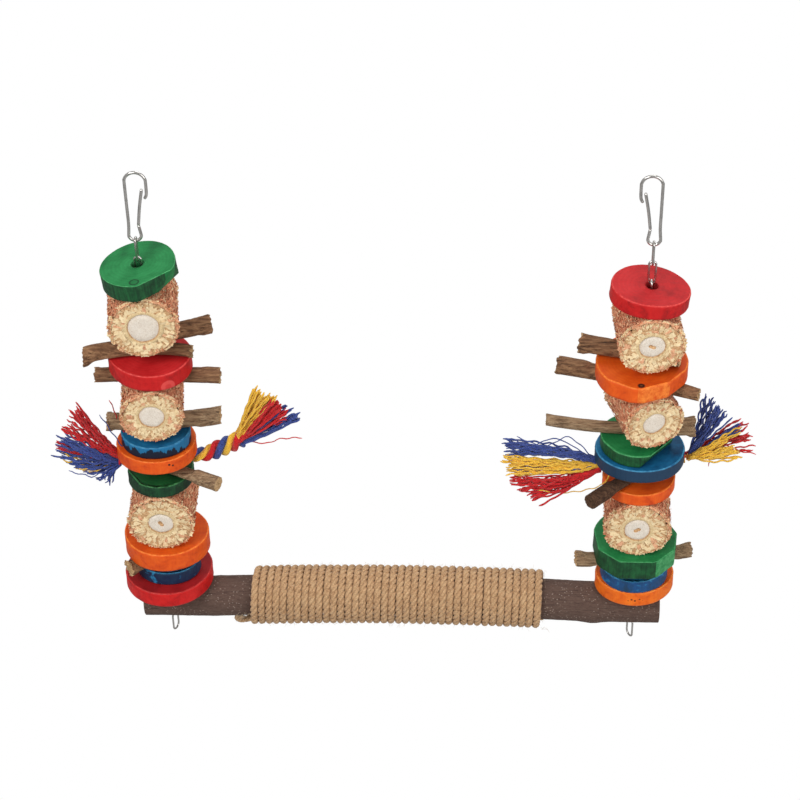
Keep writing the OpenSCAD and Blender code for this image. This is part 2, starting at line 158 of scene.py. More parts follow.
def add_mesh(name, verts, faces, mats, face_mats, smooth=True, closed=True):
    mesh = bpy.data.meshes.new(name)
    mesh.from_pydata((np.asarray(verts, float) * 0.001).tolist(), [], faces)
    for m in mats:
        mesh.materials.append(m)
    mesh.polygons.foreach_set("material_index", face_mats)
    mesh.polygons.foreach_set("use_smooth", [smooth] * len(mesh.polygons))
    if closed:
        clean(mesh)
    mesh.update()
    obj = bpy.data.objects.new(name, mesh)
    scene.collection.objects.link(obj)
    return obj


class Builder:
    """Gathers rings of points into one mesh, in millimetres."""

    def __init__(self):
        self.verts, self.faces, self.mats = [], [], []

    def fan(self, base, n, tip, mat):
        """Closes the ring of n points from base with a point in its middle."""
        centre = len(self.verts)
        self.verts.append(tip)
        for j in range(n):
            self.faces.append((base + j, base + (j + 1) % n, centre))
            self.mats.append(mat)

    def grid(self, rows, mat=0, caps=(False, False)):
        """A skin over rings of as many points each, with a cap at either end if asked."""
        base, n = len(self.verts), len(rows[0])
        for row in rows:
            self.verts.extend(row)
        for i in range(len(rows) - 1):
            a = base + i * n
            for j in range(n):
                k = (j + 1) % n
                self.faces.append((a + j, a + k, a + n + k, a + n + j))
                self.mats.append(mat)
        for end, want in zip((0, len(rows) - 1), caps):
            if want:
                self.fan(base + end * n, n, np.mean(np.asarray(rows[end], float), axis=0).tolist(), mat)

    def build(self, name, mats, smooth=True, closed=True):
        return add_mesh(name, self.verts, self.faces, mats, self.mats, smooth, closed)


def put(piece, body, nodes=()):
    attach(piece, body)
    if nodes:
        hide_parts(*nodes)
    return piece


def run_along(path):
    """The length of a path up to each of its points."""
    return np.concatenate([[0], np.cumsum(np.linalg.norm(np.diff(path, axis=0), axis=1))])


def frames_along(path):
    """Two cross directions at each point, carried along without twist."""
    tangent = np.gradient(np.asarray(path, float), axis=0)
    tangent /= np.linalg.norm(tangent, axis=1)[:, None]
    side = np.array([0.0, 1.0, 0.0])
    sides, ups = [], []
    for t in tangent:
        side = unit(side - t * np.dot(side, t))
        sides.append(side)
        ups.append(np.cross(t, side))
    return np.array(sides), np.array(ups)


def tube_rows(path, radius, sides):
    path = np.asarray(path, float)
    radius = np.broadcast_to(np.asarray(radius, float), (len(path),))
    angles = np.linspace(0, 2 * math.pi, sides, endpoint=False)
    return [[(p + r * across(u, v, t)).tolist() for t in angles]
            for p, u, v, r in zip(path, *frames_along(path), radius)]


def smooth_path(points, count):
    """Catmull-Rom curve through the points, at even steps."""
    pts = np.asarray(points, float)
    pts = np.vstack([2 * pts[0] - pts[1], pts, 2 * pts[-1] - pts[-2]])
    fine = []
    for i in range(1, len(pts) - 2):
        p0, p1, p2, p3 = pts[i - 1:i + 3]
        for t in np.linspace(0, 1, 12, endpoint=False):
            fine.append(0.5 * (2 * p1 + (p2 - p0) * t + (2 * p0 - 5 * p1 + 4 * p2 - p3) * t ** 2
                               + (3 * p1 - p0 - 3 * p2 + p3) * t ** 3))
    fine.append(pts[-2])
    fine = np.array(fine)
    run = run_along(fine)
    want = np.linspace(0, run[-1], count)
    return np.stack([np.interp(want, run, fine[:, k]) for k in range(3)], axis=1)


# Materials
def add_node(tree, kind, values=None, **props):
    """Adds a node; each of its values is a constant or an output to link."""
    n = tree.nodes.new(kind)
    for key, value in props.items():
        setattr(n, key, value)
    for key, value in (values or {}).items():
        feed(tree, n.inputs[key], value)
    return n


def feed(tree, socket, value):
    if isinstance(value, bpy.types.NodeSocket):
        tree.links.new(value, socket)
    else:
        socket.default_value = value


class Graph:
    """A material's nodes: coordinates in millimetres about a centre, and the usual mixes."""

    def __init__(self, name, centre=(0, 0, 0), turn=(0, 0, 0)):
        self.mat = bpy.data.materials.new(name)
        self.mat.use_nodes = True
        self.tree = self.mat.node_tree
        coord = self.node("ShaderNodeTexCoord")
        self.place = self.map(coord.outputs["Object"], (1000, 1000, 1000), tuple(-c for c in centre), turn)

    def node(self, kind, values=None, **props):
        return add_node(self.tree, kind, values, **props)

    def map(self, vector, scale=(1, 1, 1), shift=(0, 0, 0), turn=(0, 0, 0)):
        """Scales and shifts the coordinates, then turns them."""
        m = self.node("ShaderNodeMapping", {"Vector": vector, "Scale": scale, "Location": shift})
        if any(turn):
            m = self.node("ShaderNodeMapping", {"Vector": m.outputs["Vector"], "Rotation": turn})
        return m.outputs["Vector"]

    def noise(self, scale, detail=4, rough=0.55, stretch=(1, 1, 1), shift=(0, 0, 0), distort=0.0):
        plain = stretch == (1, 1, 1) and shift == (0, 0, 0)
        place = self.place if plain else self.map(self.place, stretch, shift)
        n = self.node("ShaderNodeTexNoise", {"Vector": place, "Scale": scale, "Detail": detail,
                                             "Roughness": rough, "Distortion": distort})
        return n.outputs["Fac"]

    def cells(self, scale, stretch):
        n = self.node("ShaderNodeTexVoronoi", {"Vector": self.map(self.place, stretch), "Scale": scale})
        return n.outputs["Distance"]

    def rings(self, pitch, distort, shift=(0, 0, 0)):
        """Growth rings about the upright axis, pitch millimetres apart."""
        n = self.node("ShaderNodeTexWave",
                      {"Vector": self.map(self.place, (1, 1, 1), shift), "Scale": 2 * math.pi / (20 * pitch),
                       "Distortion": distort, "Detail": 3, "Detail Scale": 0.6},
                      wave_type="RINGS", rings_direction="Z")
        return n.outputs["Fac"]

    def steps(self, fac, low, high):
        """0 at low and 1 at high, straight between them."""
        n = self.node("ShaderNodeMapRange", {"Value": fac, "From Min": low, "From Max": high})
        return n.outputs["Result"]

    def maths(self, op, a, b):
        return self.node("ShaderNodeMath", {0: a, 1: b}, operation=op).outputs["Value"]

    def ramp(self, fac, stops):
        n = self.node("ShaderNodeValToRGB", {"Fac": fac})
        el = n.color_ramp.elements
        while len(el) < len(stops):
            el.new(0.5)
        for e, (pos, col) in zip(el, stops):
            e.position, e.color = pos, col
        return n.outputs["Color"]

    def mix(self, fac, a, b):
        n = self.node("ShaderNodeMix", {"Factor": fac}, data_type="RGBA")
        for socket, value in zip([s for s in n.inputs if s.type == "RGBA"], (a, b)):
            feed(self.tree, socket, value)
        return [s for s in n.outputs if s.type == "RGBA"][0]

    def tint(self, colour, fac, share, to):
        """Mixes a share of another colour in, where the factor says."""
        return self.mix(self.maths("MULTIPLY", fac, share), colour, to)

    def spot(self, at, radius, soft=0.25):
        """1 inside a ball about a point given from the centre, 0 outside."""
        n = self.node("ShaderNodeVectorMath", {0: self.place, 1: at}, operation="DISTANCE")
        return self.steps(n.outputs["Value"], radius, radius * (1 - soft))

    def near_axis(self, start, full):
        """0 away from the upright axis through the centre, 1 close to it."""
        flat = self.node("ShaderNodeVectorMath", {0: self.place, 1: (1, 1, 0)}, operation="MULTIPLY")
        n = self.node("ShaderNodeVectorMath", {0: flat.outputs["Vector"]}, operation="LENGTH")
        return self.steps(n.outputs["Value"], start, full)

    def height(self):
        return self.node("ShaderNodeSeparateXYZ", {"Vector": self.place}).outputs["Z"]

    def finish(self, colour, rough, bumps=(), metallic=0.0, sheen=0.0, specular=0.4):
        """Sets the shader; each bump is a height, a strength and a depth in millimetres."""
        inputs = self.tree.nodes["Principled BSDF"].inputs
        for key, value in (("Base Color", colour), ("Roughness", rough), ("Metallic", metallic),
                           ("Sheen Weight", sheen), ("Specular IOR Level", specular)):
            feed(self.tree, inputs[key], value)
        normal = None
        for fac, strength, depth in bumps:
            b = self.node("ShaderNodeBump", {"Strength": strength, "Distance": depth * 0.001, "Height": fac})
            if normal is not None:
                feed(self.tree, b.inputs["Normal"], normal)
            normal = b.outputs["Normal"]
        feed(self.tree, inputs["Normal"], normal)
        return self.mat


def bark(name, light, mid, dark, seed=0, scale=1.0, dots=False, depth=1.0):
    """Streaked and cracked bark, with small cream dots on the perch."""
    light, mid, dark = rgbs(light, mid, dark)
    g = Graph(name, (seed * 13.7, seed * 5.1, 0))
    lines = g.noise(0.75 * scale, 6, 0.72, (0.3, 1, 1) if dots else (0.12, 1, 1))
    wide = g.noise(0.16 * scale, 4, 0.6)
    cracks = g.noise(0.5 * scale, 5, 0.75, (0.06, 1.2, 1.2), (3, 1, 9), 0.8)
    col = g.ramp(lines, [(0.28, dark), (0.47, mid), (0.72, light)])
    col = g.tint(col, g.steps(wide, 0.35, 0.7), 0.5, mid)
    col = g.tint(col, g.steps(cracks, 0.46, 0.36), 0.85, dark)
    bumps = [(lines, 0.8, depth), (cracks, 0.7, 1.2 * depth)]
    if dots:
        some = g.steps(g.noise(0.09, 2, 0.5, shift=(5, 2, 0)), 0.4, 0.52)
        dot = g.maths("MULTIPLY", g.steps(g.cells(0.7, (0.8, 1.1, 1.1)), 0.27, 0.12), some)
        col = g.tint(col, dot, 0.7, rgb(176, 156, 142))
        col = g.tint(col, g.steps(g.noise(2.6, 3, 0.6), 0.56, 0.72), 0.25, rgb(136, 112, 100))
        bumps.append((dot, 0.4, 0.4))
    return g.finish(col, 0.82, bumps, specular=0.25)


def fibre(name, light, mid, dark, scale=1.2, rough=0.9, sheen=0.25, depth=0.35):
    """Fine, soft fibres, as of yarn, twine or pith."""
    light, mid, dark = rgbs(light, mid, dark)
    g = Graph(name)
    fine = g.noise(scale, 5, 0.7)
    wide = g.noise(scale * 0.13, 3, 0.6)
    col = g.ramp(fine, [(0.3, dark), (0.5, mid), (0.72, light)])
    col = g.tint(col, g.steps(wide, 0.4, 0.7), 0.35, light)
    return g.finish(col, rough, [(fine, 0.6, depth)], sheen=sheen, specular=0.2)


def metal(name, colour, rough):
    g = Graph(name)
    wear = g.noise(0.5, 3, 0.6)
    col = g.ramp(wear, [(0.3, dim(colour, 0.72)), (0.6, colour)])
    rough_map = g.ramp(wear, [(0.3, (rough * 1.5,) * 3 + (1,)), (0.7, (rough,) * 3 + (1,))])
    return g.finish(col, rough_map, [(g.noise(3.0, 2), 0.05, 0.05)], metallic=1.0, specular=0.5)


def papery(name, light, mid, dark, gap_shade, scale=1.1):
    """Mottled cob, with dark specks of painted shade where the chaff leaves gaps."""
    light, mid, dark, gap_shade = rgbs(light, mid, dark, gap_shade)
    g = Graph(name)
    fine = g.noise(scale, 5, 0.7)
    wide = g.noise(0.16, 3, 0.6)
    speck = g.noise(1.5, 3, 0.6, shift=(4, 9, 2))
    col = g.ramp(fine, [(0.32, dark), (0.48, mid), (0.68, light)])
    col = g.tint(col, g.steps(wide, 0.45, 0.68), 0.5, mid)
    # Dark specks: painted shade of the gaps between the chaff
    col = g.tint(col, g.steps(speck, 0.64, 0.72), 0.8, gap_shade)
    return g.finish(col, 0.9, [(fine, 0.7, 0.4), (speck, 0.5, 0.4)], sheen=0.05, specular=0.15)


NICKEL = metal("nickel", (0.66, 0.64, 0.61, 1), 0.17)
CHAIN_METAL = metal("chain_nickel", (0.58, 0.56, 0.53, 1), 0.22)
TWIG_BARK = bark("twig_bark", (206, 160, 116), (136, 98, 70), (48, 31, 23), depth=1.3)
TWIG_PALE = bark("twig_pale_bark", (216, 186, 148), (154, 124, 94), (66, 48, 35), seed=2, depth=1.3)
TWIG_DARK = bark("twig_dark_bark", (134, 98, 72), (84, 58, 42), (34, 22, 18), seed=3, scale=1.4)
DARK_END = fibre("dark_twig_end", (112, 84, 62), (78, 56, 42), (40, 27, 20), 1.0, 0.85, 0.0, 0.5)
TWIG_WOOD = fibre("twig_wood", (222, 192, 150), (190, 152, 108), (120, 84, 54), 1.0, 0.85, 0.0, 0.5)
PERCH_BARK = bark("perch_bark", (116, 94, 82), (96, 75, 66), (72, 54, 48), 1, 1.5, True, 0.6)
JUTE = fibre("jute_fibre", (228, 194, 150), (190, 150, 110), (112, 78, 50), 1.5, 0.95, 0.15, 0.7)
PALE_FIBRE = fibre("pale_fibre", (226, 206, 176), (206, 180, 146), (168, 138, 104), 1.4)
YARNS = [
    fibre("yellow_yarn", (250, 212, 94), (238, 186, 56), (186, 132, 30), 1.5),
    fibre("red_yarn", (222, 52, 52), (200, 22, 30), (126, 10, 18), 1.5),
    fibre("blue_yarn", (84, 104, 172), (50, 68, 138), (26, 34, 76), 1.5),
]
YELLOW, RED, BLUE = range(3)
COB_MATS = [
    papery("cob_chaff", (250, 206, 166), (228, 168, 128), (172, 106, 76), (122, 58, 40)),
    papery("cob_pink_chaff", (240, 172, 132), (212, 134, 98), (150, 80, 56), (104, 46, 32)),
    papery("cob_cream_chaff", (252, 234, 194), (242, 216, 170), (214, 172, 126), (146, 98, 66), 0.8),
    papery("cob_woody_ring", (240, 220, 176), (226, 198, 150), (186, 146, 100), (132, 92, 60), 1.6),
    fibre("cob_pith", (246, 238, 226), (232, 220, 204), (196, 178, 156), 2.0, 0.95, 0.0, 0.5),
    # The ends' base: brown, and darker than the chaff as painted shade under the petals; it also colours the
    # pith's thin brown ring and the brown mark
    papery("cob_end_brown_and_shade", (234, 200, 154), (206, 162, 116), (132, 84, 54), (82, 44, 28)),
]
CHAFF, PINK, CREAM, WOODY, PITH, END_BROWN_AND_SHADE = range(6)

# Rope: three strands through the column, frayed into yarns at both ends
STRAND_PHASE = {LEFT: 0.93, RIGHT: 2.3}
LAY = 15.4
STRAND_R = 2.36
STRAND_OFF = 2.3
STRAND_STEPS = 150
STRAND_SIDES = 28
STRAND_YARNS = 7
CORE_YARNS = 13
ROPE_POINTS = {
    LEFT: [[-20, -2, 0], [-14, -1, 0], [-8, 0, 0], [-2, 0, 0], [4, 0, 0], [10, 1, 0], [16, 2, 0],
           [22, 2, 0], [27, 3, 1], [32, 4, 3], [37, 5, 5], [42, 5, 8]],
    RIGHT: [[22, 6, 0], [16, 5, 0], [10, 3, 0], [4, 1, 0], [-2, 0, 0], [-8, 0, 0], [-14, -1, 0],
            [-20, -2, 0]],
}
OUTER_POINTS = {
    LEFT: [[-50, -5, 11], [-44, -5, 8], [-37, -4, 5], [-31, -4, 2], [-26, -3, 0]],
    RIGHT: [[49, 4, 20], [44, 5, 16], [38, 6, 10], [33, 7, 4], [28, 7, 0]],
}
INNER_POINTS = {
    LEFT: [[47, 5, 11], [52, 5, 17], [58, 4, 21], [66, 4, 25]],
    RIGHT: [[-26, -3, 0], [-31, -4, -1], [-42, -4, -1], [-54, -5, -1], [-63, -5, -1]],
}


def squeeze(x):
    """How flat the rope is between the slices: 0.58 inside, 1 outside."""
    return 0.58 + 0.42 * min(1.0, max(0.0, (abs(x) - 23.4) / 5.0))


def yarn_path(points, wave, phase, count):
    path = smooth_path(points, count)
    a, b = frames_along(path)
    run = run_along(path)
    grow = np.minimum(1, run / 7.0)
    pitch = rng.uniform(6.0, 9.5)
    w = np.sin(run / pitch * 2 * math.pi + phase) * wave * grow
    v = np.cos(run / (pitch * 1.13) * 2 * math.pi + phase * 1.7) * wave * 0.6 * grow
    return path + a * w[:, None] + b * v[:, None]


def add_yarn(builder, points, mat, radius, wave):
    length = sum(math.dist(p, q) for p, q in zip(points[:-1], points[1:]))
    path = yarn_path(points, wave, rng.uniform(0, 6.28), max(8, int(length / 1.5)))
    r = np.full(len(path), radius)
    r[-1] *= 0.55
    r[1:-1] *= np.array([rng.uniform(0.88, 1.1) for _ in range(len(path) - 2)])
    builder.grid(tube_rows(path, r, 5), mat, caps=(True, True))


def bundle(builder, mat, start, via, low, high, count, spread, look):
    """Yarns of one colour from the rope's end, by a middle point, to tips along a line."""
    radius, wave, start_spread, via_spread = look
    axes = range(3)
    for _ in range(count):
        s = [start[i] + rng.uniform(-1, 1) * start_spread * (0.4, 1, 0.8)[i] for i in axes]
        u = rng.random()
        tip = [low[i] + (high[i] - low[i]) * u + rng.gauss(0, spread * (0.8, 0.9, 0.5)[i]) for i in axes]
        m = [via[i] + (tip[i] - (low[i] + high[i]) / 2) * 0.45
             + rng.uniform(-1, 1) * via_spread * (0.5, 1, 0.6)[i] for i in axes]
        add_yarn(builder, [s, m, tip], mat, radius * rng.uniform(0.85, 1.1), wave)


class Rope:
    """One of the two ropes: its strands and its frayed ends."""

    def __init__(self, side, core, frays, strays):
        self.side = side
        self.cx, self.cz = SIDE_X[side], middle(side, 7)
        self.core, self.frays, self.strays = core, frays, strays

    def world(self, points):
        return [[p[0] + self.cx, p[1], p[2] + self.cz] for p in points]

    def strand_rows(self, strand):
        """Rings of one strand, each with seven low ridges of yarn on it."""
        path = smooth_path(ROPE_POINTS[self.side], STRAND_STEPS)
        rows = []
        for p, u, v, s in zip(path, *frames_along(path), run_along(path)):
            flat = squeeze(p[0])
            u = u * (1.0 + 0.28 * (1 - flat))
            v = v * flat
            angle = 2 * math.pi * (strand / 3 - s / LAY) + STRAND_PHASE[self.side]
            centre = p + STRAND_OFF * across(u, v, angle) + [self.cx, 0, self.cz]
            row = []
            for k in range(STRAND_SIDES):
                t = 2 * math.pi * k / STRAND_SIDES
                ridge = math.cos(STRAND_YARNS * (t - 0.35 * s / LAY * 2 * math.pi))
                lobe = STRAND_R * (1 + 0.06 * ridge)
                row.append((centre + lobe * across(u, v, t)).tolist())
            rows.append(row)
        return rows

    def core_yarns(self, out, line, mats):
        """The yarns in the middle of a frayed end, which belong to the rope itself."""
        for k in range(CORE_YARNS):
            angle = k * 2.4
            points = []
            for i, p in enumerate(line):
                grow = (1.2 + 0.9 * (k % 3)) * (0.6 + 1.0 * i / (len(line) - 1))
                points.append([p[0], p[1] + grow * math.cos(angle),
                               p[2] + grow * math.sin(angle) * (0.5 if i < 2 else 1)])
            add_yarn(out, self.world(points), mats[k % 3], 0.45, 0.4)

    def fray(self, end):
        """The loose yarns of one end; the left rope's inner end is the tightest."""
        out = Builder()
        tight = self.side == LEFT and end == "inner"
        look = (0.56, 0.3, 2.4, 2.3) if tight else (0.48, 0.6, 1.6, 2.2)
        for mat, start, via, low, high, count, spread in self.frays[end]:
            bundle(out, mat, *self.world([start, via, low, high]), count, spread, look)
        for mat, points in self.strays[end]:
            add_yarn(out, self.world(points), mat, 0.3, 0.35)
        piece = out.build(f"{self.side}_{end}_fray", YARNS)
        return put(piece, self.side + "_rope_group", [f"{self.side}_rope_{end}_end"])

    def build(self):
        route = ROPE_POINTS[self.side]
        outer, inner = OUTER_POINTS[self.side], INNER_POINTS[self.side]
        out = Builder()
        for strand in range(3):
            out.grid(self.strand_rows(strand), strand, caps=(True, True))
        self.core_yarns(out, [route[0]] + outer[::-1], self.core[0])
        self.core_yarns(out, [route[-1]] + inner, self.core[1])
        cord = out.build(self.side + "_rope_strands", YARNS)
        put(cord, self.side + "_rope_group", [self.side + "_rope"])
        ends = [self.fray("outer"), self.fray("inner")]
        smooth_path(self.world(outer + route + inner), 40) * 0.001


Rope(
    LEFT,
    core=[(RED, BLUE, BLUE), (RED, RED, BLUE)],
    frays={
        "outer": [
            (RED, (-19, -2, 1.5), (-30, -3, 12), (-37, -4, 34), (-46, -6, 20), 34, 2.0),
            (BLUE, (-19, -3, -1.0), (-30, -6, 4), (-45, -7, 19), (-48, -9, 6), 30, 1.8),
            (BLUE, (-19, -3, -1.5), (-28, -7, -4), (-45, -8, 3), (-24, -8, -13), 24, 1.8),
            (YELLOW, (-19, -3, -1.5), (-28, -5, -5), (-48, -9, 8), (-28, -7, -15), 9, 1.4),
        ],
        "inner": [
            (YELLOW, (40, 5, 8), (47, 6, 22), (50, 6, 39), (62, 5, 34), 42, 1.3),
            (RED, (41, 4, 6.5), (51, 3, 18), (60, 3, 35), (66, 2, 28), 38, 1.1),
            (BLUE, (43, 5, 6), (57, 4, 17), (67, 4, 31), (73, 3, 22), 18, 1.3),
        ],
    },
    strays={
        "outer": [
            (BLUE, [(-12, -5, 6), (-17, -6, 12), (-21, -6, 20), (-26, -6, 31)]),
            (RED, [(-14, -4, 16), (-18, -3, 24), (-19, -3, 31), (-21, -3, 38)]),
            (BLUE, [(-22, -4, -2), (-32, -8, -7), (-38, -8, -6), (-45, -8, -4)]),
        ],
        "inner": [(RED, [(43, 4, 8), (54, 4, 6), (62, 4, 9), (73, 4, 10)])],
    },
).build()
Rope(
    RIGHT,
    core=[(BLUE, YELLOW, RED), (BLUE, YELLOW, RED)],
    frays={
        "outer": [
            (BLUE, (25, 6, 0.5), (31, 7, 15), (30, 5, 39), (43, 4, 27), 30, 1.3),
            (YELLOW, (24, 4, 0.2), (33, 3, 4), (41, 2, 15), (50, 1, 3), 36, 1.3),
            (RED, (24, 7, 0), (38, 10, 4), (50, 5, 24), (57, 3, 5), 19, 1.3),
        ],
        "inner": [
            (BLUE, (-20, -2, 2), (-40, -2, 8), (-67, -2, 14), (-66, -2, 7), 30, 1.6),
            (YELLOW, (-20, -2, 0), (-40, -5, 1), (-68, -5, 7), (-64, -7, -3), 30, 1.6),
            (RED, (-20, -3, -2), (-38, -7, -8), (-65, -8, -5), (-51, -9, -19), 36, 1.7),
        ],
    },
    strays={
        "outer": [
            (RED, [(24, 6, 0), (30, 6, 0), (35, 5, -1), (35, 5, -6)]),
            (RED, [(24, 6, 1), (40, 5, 8), (50, 5, 4), (58, 4, 3)]),
        ],
        "inner": [
            (BLUE, [(-22, -2, 2), (-36, -2, 17), (-48, -2, 11), (-62, -2, 17)]),
            (BLUE, [(-24, -2, 4), (-42, -2, 16), (-54, -2, 12), (-66, -2, 16)]),
            (YELLOW, [(-14, -4, -2), (-20, -8, -9), (-38, -9, -13), (-58, -9, -10)]),
            (YELLOW, [(-22, -3, 1), (-36, -6, 4), (-50, -6, 5), (-66, -6, 1)]),
        ],
    },
).build()

# Wood slices. A dye has a light, a middle and a dark colour for the face, three for the side,
# and one for the worn edge
DYES = {
    "green": [(46, 146, 82), (28, 122, 64), (14, 88, 46), (32, 104, 56), (16, 72, 38), (8, 42, 24),
              (84, 172, 108)],
    "deep_green": [(30, 102, 50), (16, 76, 36), (10, 52, 26), (26, 84, 46), (13, 54, 30), (7, 32, 20),
                   (70, 140, 82)],
    "red": [(210, 42, 44), (192, 26, 30), (156, 16, 20), (214, 34, 32), (196, 20, 22), (154, 12, 14),
            (232, 84, 78)],
    # The next dye is the red with darker face and edge colours: painted shade from the stack above, for the
    # lowest left slice
    "red_shaded_face": [(178, 32, 36), (156, 22, 26), (124, 13, 17), (222, 34, 30), (204, 20, 20), (160, 12, 14),
                 (214, 58, 52)],
    "orange": [(234, 104, 26), (218, 82, 12), (192, 62, 8), (242, 104, 24), (228, 84, 12), (198, 62, 8),
               (250, 140, 52)],
    "light_orange": [(240, 116, 30), (228, 94, 14), (200, 70, 8), (252, 130, 30), (240, 108, 16),
                     (210, 80, 10), (252, 150, 62)],
    "blue": [(28, 120, 168), (13, 86, 130), (8, 54, 90), (26, 112, 160), (30, 60, 88), (12, 26, 46),
             (70, 150, 190)],
}
# Pits are painted only: near black for the shade in the hollow, with a paler brown middle
PIT_SHADE = rgb(52, 22, 12)
PIT_PALE = rgb(128, 74, 44)
PAINT = {"patch": rgb(24, 78, 132), "dark": rgb(18, 40, 74)}
PAINT_SPLASH = rgb(46, 146, 196)
RIM_STEPS = 108
FACE, SIDE, EDGE = range(3)


class Slice:
    """A dyed slice of wood. Its form is its radius, depth and wave as shares, the wave's turn, how far
    it sits off its bore, and its lean. A flat has a direction, a share of the radius and a slope."""

    def __init__(self, side, n, word, dye, form, seed, flats=(), knots=(), pits=(), bright=None,
                 bevel=0.9, rough=0.35, ring_pitch=1.9, streak=0.0, paint="plain"):
        size, self.deep, self.wave, self.wave_turn, off_x, off_y, self.lean = form
        self.name = f"{side}_{word}_slice"
        self.dye, self.seed, self.paint, self.streak = dye, seed, paint, streak
        self.flats, self.knots, self.pits, self.bright = flats, knots, pits, bright
        self.bevel, self.rough, self.ring_pitch = bevel, rough, ring_pitch
        self.r, self.t = SLICE_R * size, HEIGHTS[side][n]
        self.shift = (-self.r * off_x, -self.r * off_y)
        lift = SLICE_R * abs(math.sin(math.radians(self.lean))) / 5
        self.centre = (SIDE_X[side], 0, middle(side, n) + lift)
        self.tilt = Matrix.Rotation(math.radians(self.lean), 3, "Y")
        self.bore_r = BORE_R + self.t * abs(math.tan(math.radians(self.lean))) / 2
        self.colours = rgbs(*DYES[dye])

    def graph(self, word):
        return Graph(f"{self.name}_{word}", self.centre, (0, -math.radians(self.lean), 0))

    def face_material(self):
        """The sawn face: rings, saw marks, knots, pits of painted shade, and painted shade in the bore."""
        light, mid, dark, _, _, side_dark, _ = self.colours
        g = self.graph("face")
        rings = g.rings(self.ring_pitch, 5.0, (-self.shift[0] * 0.5, -self.shift[1] * 0.5, 0))
        saw = g.noise(0.8, 5, 0.7, (0.1, 1.7, 0.4), (self.seed, 0, 0))
        cloud = g.noise(0.09, 4, 0.6, shift=(self.seed * 3, 0, 0))
        col = g.ramp(cloud, [(0.28, dark), (0.5, mid), (0.76, light)])
        col = g.tint(col, rings, 0.16, dark)
        col = g.tint(col, g.steps(saw, 0.48, 0.75), 0.35, light)
        col = g.tint(col, g.spot((0, 0, 0), 6.5, 0.6), 0.3, dark)
        for at, radius in self.knots:
            col = g.tint(col, g.spot(at, radius, 0.15), 0.8, side_dark)
            col = g.tint(col, g.spot(at, radius * 0.75, 0.3), 0.75, mid)
        # Each pit: a spot of painted shade, paler brown in its middle
        for at, radius in self.pits:
            col = g.mix(g.spot(at, radius, 0.3), col, PIT_SHADE)
            col = g.tint(col, g.spot(at, radius * 0.5, 0.5), 0.8, PIT_PALE)
        # Painted shade in the bore: its wall and a thin lip round it go near black
        col = g.tint(col, g.near_axis(3.3, 2.6), 0.92, dim(side_dark, 0.12))
        rough = g.ramp(saw, [(0.3, (0.55, 0.55, 0.55, 1)), (0.8, (0.72, 0.72, 0.72, 1))])
        return g.finish(col, rough, [(rings, 0.15, 0.1), (saw, 0.4, 0.16)], specular=0.24)

    def painted(self, g, patch):
        """Thick blue paint: one tone, with lighter splashes, or a light band that drips down."""
        light, mid, dark = self.colours[3:6]
        if self.paint == "drip":
            drip = g.noise(0.13, 4, 0.65, (1, 1, 0.35), (self.seed, 3, 0))
            edge = g.maths("ADD", g.maths("MULTIPLY", g.height(), 0.16), g.maths("MULTIPLY", drip, 3.0))
            return g.mix(g.steps(edge, 1.5, 1.58), dark, light)
        col = g.mix(g.steps(patch, 0.45, 0.7), PAINT.get(self.paint, mid), mid)
        if self.paint in PAINT:
            col = g.tint(col, g.steps(patch, 0.42, 0.34), 0.8, PAINT_SPLASH)
        return col

    def side_material(self):
        """The bark side under its dye, with fibres along the slice's axis."""
        light, mid, dark, worn = self.colours[3:]
        g = self.graph("side")
        grain = g.noise(0.8, 5, 0.65, (1.5, 1.5, 0.1), (self.seed, 5, 0))
        patch = g.noise(0.16, 4, 0.6, shift=(self.seed * 2, 1, 0), distort=0.6)
        if self.dye == "blue":
            col = g.tint(self.painted(g, patch), g.steps(grain, 0.5, 0.8), 0.4, dark)
        else:
            share = 0.5 if "green" in self.dye else 0.2
            col = g.ramp(patch, [(0.3, dark), (0.48, mid), (0.75, light)])
            col = g.tint(col, g.steps(grain, 0.42, 0.7), share + self.streak, dark)
            col = g.tint(col, g.steps(grain, 0.55, 0.35), 0.5 * share, light)
        for at, radius in self.knots:
            col = g.tint(col, g.spot(at, radius, 0.12), 0.75, worn)
            col = g.tint(col, g.spot(at, radius * 0.5, 0.4), 0.5, mid)
        # The pits on the side: spots of painted shade
        for at, radius in self.pits:
            col = g.mix(g.spot(at, radius, 0.3), col, PIT_SHADE)
        return g.finish(col, 0.55, [(grain, 0.3, 0.3), (patch, 0.25, 0.6)], specular=0.3)

    def edge_material(self):
        g = self.graph("edge")
        worn = g.noise(0.35, 4, 0.7, shift=(self.seed, 8, 0))
        col = g.mix(g.steps(worn, 0.34, 0.66), self.colours[1], self.colours[6])
        return g.finish(col, 0.55, [(worn, 0.3, 0.2)], specular=0.3)

    def rim(self, a, z):
        """Where the rim lies at an angle about the bore and a height over the middle."""
        deg = math.degrees(a)
        waves = (math.sin(math.radians(2 * deg + self.wave_turn))
                 + 0.6 * math.sin(math.radians(3 * deg - 2 * self.wave_turn)))
        q = self.r * (1 + self.wave * (waves - 1.6))
        q *= 1 - 0.012 * abs(fbm((math.cos(a) * 3 + self.seed, math.sin(a) * 3, z * 0.05), 1.6))
        x, y = q * math.cos(a), self.deep * q * math.sin(a)
        for angle, share, slope in self.flats:
            dx, dy = math.cos(math.radians(angle)), math.sin(math.radians(angle))
            over = x * dx + y * dy - self.r * (share - slope * (z / self.t))
            if over > 0:
                x, y = x - over * dx, y - over * dy
        return x + self.shift[0], y + self.shift[1]

